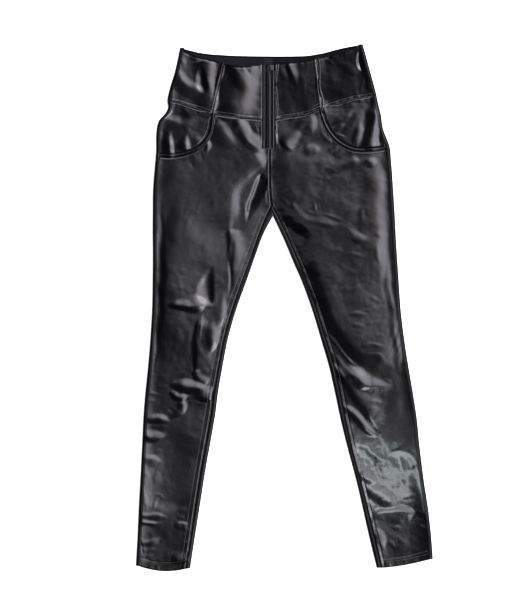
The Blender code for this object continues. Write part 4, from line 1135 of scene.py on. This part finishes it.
def stitches(line, pitch, thickness):
    """Short loops of thread on the cloth along a line: their points and faces."""
    length = float(np.linalg.norm(np.diff(line, axis=0), axis=1).sum())
    count = max(1, round(length / pitch))
    starts = resample(line, np.arange(count) / count)
    ends = resample(line, (np.arange(count) + STITCH_FILL) / count)
    way = ends - starts
    way /= np.linalg.norm(way, axis=1, keepdims=True)
    aside = np.cross(way, (0.0, 0.0, 1.0))
    aside /= np.linalg.norm(aside, axis=1, keepdims=True)
    upward = np.cross(aside, way)
    rings = []
    for share, size, lift in STITCH_RINGS:
        middle = mix(starts, ends, share) + upward * thickness * (0.25 + lift * 0.5)
        for k in range(STITCH_SIDES):
            turn = 2 * math.pi * k / STITCH_SIDES
            rings.append(middle + (aside * math.cos(turn) + upward * math.sin(turn))
                         * thickness / 2 * size)
    places = np.stack(rings, axis=1)
    per = len(STITCH_RINGS) * STITCH_SIDES
    faces = []
    for r in range(len(STITCH_RINGS) - 1):
        for k in range(STITCH_SIDES):
            a, b = r * STITCH_SIDES + k, r * STITCH_SIDES + (k + 1) % STITCH_SIDES
            faces.append((a, a + STITCH_SIDES, b + STITCH_SIDES, b))
    caps = [tuple(range(STITCH_SIDES)), tuple(range(per - 1, per - 1 - STITCH_SIDES, -1))]
    all_faces = [tuple(k + i * per for k in face) for i in range(count) for face in faces + caps]
    return places.reshape(-1, 3), all_faces


def sew(name, lines, pitch_share=1.0, thickness_share=1.0):
    """One piece of many stitches."""
    look = bpy.context.scene.trouser_sewing
    places, faces, used = [], [], 0
    for line in lines:
        if len(line) < 2:
            continue
        some, more = stitches(line, look.pitch * pitch_share, look.thickness * thickness_share)
        places.append(some)
        faces += [tuple(k + used for k in face) for face in more]
        used += len(some)
    piece = new_piece(name, np.concatenate(places), faces, [twisted_thread()], 60)
    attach(piece, "root")
    return piece


# ---------------------------------------------------------------- finishes

class Value:
    """A number that varies over a surface. Arithmetic on it adds Math nodes."""

    def __init__(self, finish, socket):
        self.finish = finish
        self.socket = socket

    def combine(self, operation, first, second):
        node = self.finish.node("ShaderNodeMath", {"operation": operation}, {0: first, 1: second})
        return Value(self.finish, node.outputs[0])

    def __add__(self, other):
        return self.combine("ADD", self, other)

    def __radd__(self, other):
        return self.combine("ADD", other, self)

    def __sub__(self, other):
        return self.combine("SUBTRACT", self, other)

    def __rsub__(self, other):
        return self.combine("SUBTRACT", other, self)

    def __mul__(self, other):
        return self.combine("MULTIPLY", self, other)

    def __rmul__(self, other):
        return self.combine("MULTIPLY", other, self)

    def __rpow__(self, other):
        return self.combine("POWER", other, self)


class Graph:
    """A node tree, with short ways to add nodes and to fill their sockets."""

    def __init__(self, tree):
        self.tree = tree

    def node(self, kind, settings=None, sockets=None):
        """A node of a kind, with its settings set first and then the values of its sockets."""
        node = self.tree.nodes.new(kind)
        for name, value in (settings or {}).items():
            setattr(node, name, value)
        for name, value in (sockets or {}).items():
            self.set(node.inputs[name], value)
        return node

    def set(self, socket, value):
        if isinstance(value, Value):
            value = value.socket
        if isinstance(value, bpy.types.NodeSocket):
            self.tree.links.new(value, socket)
        elif isinstance(value, tuple) and len(value) == 3 and socket.type == "RGBA":
            socket.default_value = (*value, 1.0)
        else:
            socket.default_value = value


class Finish(Graph):
    """A material and its node graph."""

    def __init__(self, name):
        self.material = bpy.data.materials.new(name)
        self.material.use_nodes = True
        super().__init__(self.material.node_tree)
        self.shader = self.tree.nodes["Principled BSDF"]
        self.place = self.node("ShaderNodeTexCoord").outputs["Object"]

    def scaled(self, scale):
        return self.node("ShaderNodeMapping", None, {"Vector": self.place, "Scale": scale}
                         ).outputs["Vector"]

    def noise(self, scale, detail=3.0, roughness=0.55, stretch=(1.0, 1.0, 1.0)):
        node = self.node("ShaderNodeTexNoise", None,
                         {"Vector": self.scaled(stretch), "Scale": scale, "Detail": detail,
                          "Roughness": roughness})
        return Value(self, node.outputs["Fac"])

    def cells(self, scale, stretch=(1.0, 1.0, 1.0)):
        node = self.node("ShaderNodeTexVoronoi", {"feature": "SMOOTH_F1"},
                         {"Vector": self.scaled(stretch), "Scale": scale, "Smoothness": 0.3})
        return Value(self, node.outputs["Distance"])

    def wave(self, scale, direction, distortion=0.0):
        node = self.node("ShaderNodeTexWave", {"bands_direction": direction},
                         {"Vector": self.place, "Scale": scale, "Distortion": distortion})
        return Value(self, node.outputs["Fac"])

    def spot(self, x, y, across, along):
        """1 at a place of the row frame, falling to 0 around it."""
        split = self.node("ShaderNodeSeparateXYZ", None, {0: self.place}).outputs
        u = (Value(self, split["X"]) - (x * MM + float(SHIFT[0]))) * (1 / (across * MM))
        v = (Value(self, split["Y"]) - (y * MM + float(SHIFT[1]))) * (1 / (along * MM))
        return math.e ** (-1 * (u * u + v * v))

    def colour(self, factor, first, second):
        node = self.node("ShaderNodeMix", {"data_type": "RGBA"}, {0: factor, 6: first, 7: second})
        return node.outputs[2]

    def bump(self, height, distance, strength=1.0):
        node = self.node("ShaderNodeBump", None,
                         {"Height": height, "Distance": distance, "Strength": strength})
        return node.outputs["Normal"]

    def finish(self, **sockets):
        names = {"base_color": "Base Color", "roughness": "Roughness", "normal": "Normal",
                 "metallic": "Metallic", "coat": "Coat Weight", "coat_roughness": "Coat Roughness",
                 "sheen": "Sheen Weight", "sheen_roughness": "Sheen Roughness",
                 "specular": "Specular IOR Level", "emission": "Emission Color",
                 "emission_strength": "Emission Strength"}
        for name, value in sockets.items():
            self.set(self.shader.inputs[names[name]], value)
        return self.material


def set_stops(ramp, stops, tint=(1.0, 1.0, 1.0)):
    """Stops of a colour ramp, given as places and shades of a tint."""
    elements = ramp.color_ramp.elements
    while len(elements) < len(stops):
        elements.new(1.0)
    for element, (at, grey) in zip(elements, stops):
        element.position = at
        element.color = (*shade(tint, grey), 1.0)


def made_once(build):
    """A finish that is built once and then found again by its name."""
    def find(name=build.__name__, *details):
        return bpy.data.materials.get(name) or build(name, *details)
    return find


def shade(colour, factor):
    return tuple(channel * factor for channel in colour)


@made_once
def coated_leather(name):
    """Glossy coated cloth: fine grain, soft pressing marks, an uneven gloss, and a painted highlight
    (a paler base colour) where the coating is dull.
    """
    look = bpy.context.scene.trouser_leather
    skin = Finish(name)
    grain = skin.cells(720.0)
    pores = skin.noise(2400.0, 2.0)
    creasing = skin.noise(60.0, 3.0, 0.4, (0.75, 1.5, 1.0))
    cloudy = skin.noise(16.0, 3.0)
    height = grain * 0.35 + pores * 0.12 + creasing * 3.6
    spots = [(skin.spot(*gloss[:4]) * gloss.change, gloss.change) for gloss in GLOSSES]
    dulled = sum(spot for spot, change in spots)
    dull_and_painted_highlight = sum(spot for spot, change in spots if change > 0)
    colour = tuple(look.colour)
    skin.finish(
        # The base colour turns paler at the dull places, mottled by cloudy: a painted highlight.
        base_color=skin.colour(cloudy * dull_and_painted_highlight * PAINTED_HIGHLIGHT_RATE, colour, tuple(look.bloom)),
        roughness=dulled + cloudy * 0.10 + grain * 0.05 + (look.roughness - 0.05),
        normal=skin.bump(height, look.grain),
        coat=0.4 - dull_and_painted_highlight * 3.5,
        coat_roughness=0.10,
    )
    return skin.material


@made_once
def back_leather(name):
    """The same cloth on the back, duller because it lies and rubs on what is below."""
    skin = Finish(name)
    skin.finish(
        base_color=tuple(bpy.context.scene.trouser_leather.colour),
        roughness=0.24 + skin.noise(16.0, 3.0) * 0.10,
        normal=skin.bump(skin.noise(60.0, 3.0, 0.4, (0.75, 1.5, 1.0)), 0.00025),
        specular=0.25,
    )
    return skin.material


@made_once
def turned_edge(name, specular=0.3):
    """Duller folded edges of the same cloth, along the pockets, the zip and the waist."""
    edge = Finish(name)
    edge.finish(
        base_color=tuple(bpy.context.scene.trouser_leather.colour),
        roughness=0.16 + edge.noise(300.0, 2.0) * 0.08,
        normal=edge.bump(edge.noise(160.0, 2.0), 0.00015),
        specular=specular,
    )
    return edge.material


@made_once
def knitted_backing(name):
    """Brushed knit on the inside of the coated cloth."""
    look = bpy.context.scene.trouser_leather
    knit = Finish(name)
    ribs = knit.wave(420.0, "X", 1.5) * 0.6 + knit.wave(300.0, "Y", 2.0) * 0.4
    fibres = knit.noise(1500.0, 3.0)
    colour = tuple(look.backing)
    knit.finish(
        # The knit's colour varies at random with the noise, and is paler round the left end of the
        # back waist and darker away from it: that paler place is painted light.
        base_color=knit.colour(knit.noise(40.0) * 0.4 + knit.spot(-110, 495, 100, 60) * 0.6,
                               shade(colour, 0.5), shade(colour, 2.4)),
        roughness=0.75 + fibres * 0.15,
        normal=knit.bump(ribs + fibres * 0.6, 0.0003),
        specular=0.15,
        sheen=0.05,
        sheen_roughness=0.5,
    )
    return knit.material


@made_once
def twisted_thread(name):
    """Smooth polyester thread with a visible twist."""
    look = bpy.context.scene.trouser_sewing
    thread = Finish(name)
    twist = thread.wave(1800.0, "DIAGONAL", 0.5)
    colour = tuple(look.colour)
    thread.finish(
        base_color=thread.colour(twist, shade(colour, 0.7), shade(colour, 1.2)),
        roughness=0.42 + twist * 0.1,
        normal=thread.bump(twist, 0.0001),
    )
    return thread.material


@made_once
def zip_tape_cloth(name):
    """Fine woven tape of the zip."""
    tape = Finish(name)
    weave = tape.wave(900.0, "X") * 0.5 + tape.wave(900.0, "Y") * 0.5
    tape.finish(
        base_color=tape.colour(weave, (0.004, 0.004, 0.005), (0.012, 0.012, 0.013)),
        roughness=0.7 + weave * 0.15,
        normal=tape.bump(weave, 0.0002),
    )
    return tape.material


@made_once
def dark_metal(name, colour, roughness):
    """Dark satin metal of the zip."""
    metal = Finish(name)
    scuffs = metal.noise(600.0, 4.0, 0.6)
    metal.finish(
        base_color=metal.colour(scuffs, shade(colour, 0.8), shade(colour, 1.3)),
        roughness=roughness + scuffs * 0.12,
        normal=metal.bump(metal.noise(1500.0), 0.00004),
        metallic=1.0,
    )
    return metal.material


@made_once
def label_satin(name):
    """Plain satin ribbon of the blank label."""
    satin = Finish(name)
    weave = satin.wave(1300.0, "Y", 0.4)
    satin.finish(
        base_color=satin.colour(weave, (0.016, 0.015, 0.017), (0.03, 0.028, 0.032)),
        roughness=0.5 + weave * 0.15,
        normal=satin.bump(weave, 0.00012),
        specular=0.15,
    )
    return satin.material


# ---------------------------------------------------------------- settings

class LeatherSettings(bpy.types.PropertyGroup):
    """Finish of the coated cloth."""
    colour: FloatVectorProperty(name="Colour", description="Colour of the coating",
                                subtype="COLOR", default=(0.002, 0.002, 0.0023), min=0.0, max=1.0)
    bloom: FloatVectorProperty(name="Bloom", description="Colour of the coating where it is scuffed",
                               # Colour of the painted highlight given to the dull places of the
                               # coating.
                               subtype="COLOR", default=(0.016, 0.0156, 0.0176), min=0.0, max=1.0)
    backing: FloatVectorProperty(name="Backing", description="Colour of the knitted inside",
                                 subtype="COLOR", default=(0.008, 0.0075, 0.009), min=0.0, max=1.0)
    roughness: FloatProperty(name="Roughness", description="0 is a mirror, 1 is matt",
                             subtype="FACTOR", default=0.20, min=0.0, max=1.0)
    grain: FloatProperty(name="Grain", description="Depth of the grain and pressing marks",
                         subtype="DISTANCE", unit="LENGTH", default=0.00005, min=0.0, max=0.002,
                         precision=5)


class SewingSettings(bpy.types.PropertyGroup):
    """Thread and stitches."""
    colour: FloatVectorProperty(name="Thread", description="Colour of the thread",
                                subtype="COLOR", default=(0.14, 0.14, 0.15), min=0.0, max=1.0)
    pitch: FloatProperty(name="Stitch", description="From one stitch to the next",
                         subtype="DISTANCE", unit="LENGTH", default=0.0034, min=0.001, max=0.01,
                         precision=4)
    thickness: FloatProperty(name="Thickness", description="Diameter of the thread",
                             subtype="DISTANCE", unit="LENGTH", default=0.00056, min=0.0001,
                             max=0.002, precision=5)


class StudioSettings(bpy.types.PropertyGroup):
    """Lights over the garment."""
    key: FloatProperty(name="Key light", description="Brightness of the upper soft box",
                       default=7.0, min=0.0, max=100.0)
    fill: FloatProperty(name="Fill light", description="Brightness of the lower soft box",
                        default=5.0, min=0.0, max=100.0)
    low: FloatProperty(name="Low light", description="Brightness of the small box over the hems",
                       default=9.5, min=0.0, max=100.0)
    leg: FloatProperty(name="Leg light", description="Brightness of the long box over the left leg",
                       default=0.5, min=0.0, max=100.0)
    camera_height: FloatProperty(name="Camera height", description="Camera above the floor",
                                 subtype="DISTANCE", unit="LENGTH", default=14.0, min=1.0, max=20.0)


# ---------------------------------------------------------------- operators

def cloth_piece(node, panel, turn=None, backed=True):
    """The sheet that takes the place of a node."""
    if not backed:
        finishes = [turned_edge()]
    elif node.startswith("back"):
        finishes = [back_leather(), knitted_backing()]
    else:
        finishes = [coated_leather(), knitted_backing()]
    piece = make_shell(f"cloth_{node}", panel, finishes, turn)
    lay(piece, panel, node)
    return piece


class TROUSERS_OT_back_legs(bpy.types.Operator):
    """Back of both legs, rolled round to the seams on the front"""
    bl_idname = "trousers.back_legs"
    bl_label = "Back legs"

    def execute(self, context):
        for side in SIDES:
            cloth_piece(f"back_leg_{side}", back_leg(side), -INWARD[side])
        return {"FINISHED"}


class TROUSERS_OT_back_yoke(bpy.types.Operator):
    """Back yoke, whose inside shows above the front waist"""
    bl_idname = "trousers.back_yoke"
    bl_label = "Back yoke"

    def execute(self, context):
        piece = cloth_piece("back_yoke", back_yoke(), -1)
        piece.data.materials.append(turned_edge("waist_edge", 0.05))
        for face in piece.data.polygons:
            x, y, _ = np.array(face.center) - SHIFT
            if y > back_waist(x) - TURNED_EDGE:
                face.material_index = 2
        return {"FINISHED"}


class TROUSERS_OT_front_legs(bpy.types.Operator):
    """Front of both legs"""
    bl_idname = "trousers.front_legs"
    bl_label = "Front legs"

    def execute(self, context):
        for side in SIDES:
            cloth_piece(f"front_leg_{side}", front_leg(side))
        return {"FINISHED"}


class TROUSERS_OT_pockets(bpy.types.Operator):
    """Hip panels and the bound pocket openings"""
    bl_idname = "trousers.pockets"
    bl_label = "Pockets"

    def execute(self, context):
        for side in SIDES:
            cloth_piece(f"hip_panel_{side}", hip_panel(side))
            cloth_piece(f"pocket_binding_{side}", pocket_binding(side),
                        -INWARD[side], backed=False)
        return {"FINISHED"}


class TROUSERS_OT_front_yoke(bpy.types.Operator):
    """The four pieces of the front yoke"""
    bl_idname = "trousers.front_yoke"
    bl_label = "Front yoke"

    def execute(self, context):
        for part in ("centre", "side"):
            for side in SIDES:
                cloth_piece(f"yoke_{part}_{side}", yoke_panel(f"{part}_{side}"))
        return {"FINISHED"}


class TROUSERS_OT_zip(bpy.types.Operator):
    """Folded edges and tape of the zip"""
    bl_idname = "trousers.zip"
    bl_label = "Zip"

    def execute(self, context):
        tape = make_shell("zip_tape_strip", zip_part("tape"), [zip_tape_cloth()])
        lay(tape, zip_part("tape"), "zip_tape")
        for side in SIDES:
            cloth_piece(f"zip_lip_{side}", zip_part(f"lip_{side}"),
                        backed=False)
        return {"FINISHED"}


class TROUSERS_OT_sewing(bpy.types.Operator):
    """Rows of stitches along the seams, pockets, hems and zip"""
    bl_idname = "trousers.sewing"
    bl_label = "Sewing"

    def execute(self, context):
        inseams, hems, pockets, yokes, zips = [], [], [], [], []
        for side in SIDES:
            leg = front_leg(side)
            inseams.append(row_along(leg, "right", INSEAM_ROW[side], *INSEAM_SEWN))
            hems.append(row_along(leg, "bottom", HEM_DEPTH))
            if side == "right":
                hems.append(row_along(leg, "bottom", HEM_ROW_LOW))
            pockets.append(row_along(leg, "top", POCKET_ROW, *POCKET_SEWN))
            for part in ("centre", "side"):
                panel = yoke_panel(f"{part}_{side}")
                yokes += [row_along(panel, "bottom", away) for away in (YOKE_ROW, SEAM_ROW)]
            lip = zip_part(f"lip_{side}")
            zips.append(row_along(lip, side, LIP_ROW))
        zips.append(row_along(front_leg("left"), "right", FLY_ROW, *FLY_SEWN))
        for name, lines in (("inseams", inseams), ("hems", hems), ("pockets", pockets),
                            ("yoke", yokes), ("zip", zips)):
            sew(f"stitches_{name}", lines)
        bars = []
        for tack in TACKS:
            share = np.linspace(0, 1, 8)
            x, y = mix(tack.x, tack.x_end, share) * MM, mix(tack.y, tack.y_end, share) * MM
            z = top_height(x, y) + finer_folds(x, y) + tack.rise * MM
            bars.append(np.column_stack((x, y, z)))
        sew("stitches_bars", bars, 0.35, 1.7)
        return {"FINISHED"}


class TROUSERS_OT_zip_teeth(bpy.types.Operator):
    """Coil of the zip, showing in the slit between its folded edges"""
    bl_idname = "trousers.zip_teeth"
    bl_label = "Zip teeth"

    def execute(self, context):
        deselect()
        bpy.ops.mesh.primitive_cube_add(size=1.0)
        tooth = context.object
        tooth.scale = (TOOTH_WIDTH, TOOTH_LENGTH, TOOTH_HEIGHT)
        bpy.ops.object.transform_apply(scale=True)
        bpy.ops.object.mode_set(mode="EDIT")
        bpy.ops.mesh.bevel(offset=0.18 * MM, segments=2)
        bpy.ops.object.mode_set(mode="OBJECT")
        corners = np.array([vertex.co[:] for vertex in tooth.data.vertices])
        cell = [tuple(face.vertices) for face in tooth.data.polygons]
        bpy.data.objects.remove(tooth)
        places, faces = [], []
        levels = np.arange(ZIP_BOTTOM + 2 * MM, SLIDER_BOTTOM, TOOTH_PITCH)
        for i, y in enumerate(levels):
            x = (SLIT_LEFT + SLIT_RIGHT) / 2 + TOOTH_STAGGER * (-1) ** i
            z = float(top_height(np.float64(x), np.float64(y))) - TAPE_DEPTH + TOOTH_HEIGHT / 2
            places.append(corners + (x, y, z))
            faces += [tuple(k + i * len(corners) for k in face) for face in cell]
        piece = new_piece("zip_teeth", np.concatenate(places), faces,
                          [dark_metal("tooth_metal", (0.05, 0.05, 0.055), 0.35)], 50)
        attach(piece, "root")
        return {"FINISHED"}


class TROUSERS_OT_metal_and_label(bpy.types.Operator):
    """Finishes of the slider and of the blank label"""
    bl_idname = "trousers.metal_and_label"
    bl_label = "Slider and label"

    def execute(self, context):
        for name, finish in (("zip_slider", dark_metal("slider_metal", (0.09, 0.09, 0.1), 0.3)),
                             ("waist_label", label_satin())):
            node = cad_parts[name]
            for slot in node.material_slots:
                slot.material = finish
        return {"FINISHED"}


class TROUSERS_OT_studio(bpy.types.Operator):
    """Pale floor, soft boxes and the camera straight above"""
    bl_idname = "trousers.studio"
    bl_label = "Studio"

    def execute(self, context):
        deselect()
        bpy.ops.mesh.primitive_plane_add(size=30.0, location=(0.0, 0.0, -FLOOR_DROP))
        floor = context.object
        floor.name = "floor"
        paper = Finish("pale_paper")
        paper.finish(base_color=PAPER, roughness=0.9,
                     emission=(1.0, 1.0, 1.0), emission_strength=PAPER_GLOW)
        floor.data.materials.append(paper.material)
        floor.visible_glossy = False
        studio = context.scene.trouser_studio
        for row in SOFTBOXES:
            lamp = bpy.data.lights.new(row.name, "AREA")
            lamp.shape = "RECTANGLE"
            lamp.size, lamp.size_y = row.size
            lamp.color = row.tint
            lamp.energy = getattr(studio, row.setting) * math.pi * row.size[0] * row.size[1]
            box = bpy.data.objects.new(row.name, lamp)
            box.location = row.place
            way = Vector(row.aim) - Vector(row.place)
            spin = Quaternion((0.0, 0.0, 1.0), math.radians(row.turn))
            box.rotation_euler = (way.to_track_quat("-Z", "Y") @ spin).to_euler()
            box.visible_camera = False
            context.collection.objects.link(box)
        self.sky(context)
        self.camera(context, studio.camera_height)
        return {"FINISHED"}

    def sky(self, context):
        """Pale walls round the floor, and a ceiling that brightens towards the key light."""
        world = bpy.data.worlds.new("studio_walls")
        world.use_nodes = True
        graph = Graph(world.node_tree)
        way = graph.node("ShaderNodeTexCoord").outputs["Generated"]
        toward = graph.node("ShaderNodeVectorMath", {"operation": "DOT_PRODUCT"},
                            {0: way, 1: (0.5 * KEY_WAY[0], 0.5 * KEY_WAY[1], 0.0)})
        offset = graph.node("ShaderNodeMath", None, {0: toward.outputs["Value"], 1: 0.5})
        ceiling = graph.node("ShaderNodeValToRGB", None, {0: offset.outputs[0]})
        set_stops(ceiling, CEILING, CEILING_TINT)
        split = graph.node("ShaderNodeSeparateXYZ", None, {0: way})
        walls = graph.node("ShaderNodeValToRGB", None, {0: split.outputs["Z"]})
        set_stops(walls, WALLS)
        blend = graph.node("ShaderNodeMix", {"data_type": "RGBA"},
                           {0: walls.outputs["Color"], 6: ceiling.outputs["Color"],
                            7: WALL_SHADE})
        back = graph.tree.nodes["Background"]
        graph.set(back.inputs["Strength"], WALL_STRENGTH)
        graph.set(back.inputs["Color"], blend.outputs[2])
        context.scene.world = world

    def camera(self, context, height):
        """Straight above, so that 2 mm on the garment is one pixel."""
        data = bpy.data.cameras.new("camera")
        data.sensor_width = 36.0
        data.lens = data.sensor_width * (height - FRAME_LEVEL) / FRAME_LENGTH
        data.clip_end = 100.0
        camera = bpy.data.objects.new("camera", data)
        camera.location = (FRAME_X, FRAME_Y, height)
        context.collection.objects.link(camera)
        context.scene.camera = camera
        context.scene.view_settings.view_transform = "Standard"
        context.scene.view_settings.exposure = EXPOSURE
        context.scene.view_settings.gamma = GAMMA


class TROUSERS_PT_panel(bpy.types.Panel):
    """Steps and sizes of the trousers"""
    bl_idname = "TROUSERS_PT_panel"
    bl_label = "Leather trousers"
    bl_space_type = "VIEW_3D"
    bl_region_type = "UI"
    bl_category = "Trousers"

    def draw(self, context):
        for group in ("trouser_leather", "trouser_sewing", "trouser_studio"):
            settings = getattr(context.scene, group)
            box = self.layout.box()
            for name in settings.__annotations__:
                box.prop(settings, name)
        for step in STEPS:
            self.layout.operator(step.bl_idname)


STEPS = (
    TROUSERS_OT_back_legs, TROUSERS_OT_back_yoke, TROUSERS_OT_front_legs, TROUSERS_OT_pockets,
    TROUSERS_OT_front_yoke, TROUSERS_OT_zip, TROUSERS_OT_zip_teeth, TROUSERS_OT_sewing,
    TROUSERS_OT_metal_and_label, TROUSERS_OT_studio,
)
GROUPS = {"trouser_leather": LeatherSettings, "trouser_sewing": SewingSettings,
          "trouser_studio": StudioSettings}


def register():
    for kind in (*GROUPS.values(), *STEPS, TROUSERS_PT_panel):
        bpy.utils.register_class(kind)
    for name, group in GROUPS.items():
        setattr(bpy.types.Scene, name, PointerProperty(type=group))


def unregister():
    for name in GROUPS:
        delattr(bpy.types.Scene, name)
    for kind in reversed((*GROUPS.values(), *STEPS, TROUSERS_PT_panel)):
        bpy.utils.unregister_class(kind)


def main():
    register()
    for step in STEPS:
        getattr(bpy.ops.trousers, step.bl_idname.split(".")[1])()


if __name__ == "__main__":
    main()
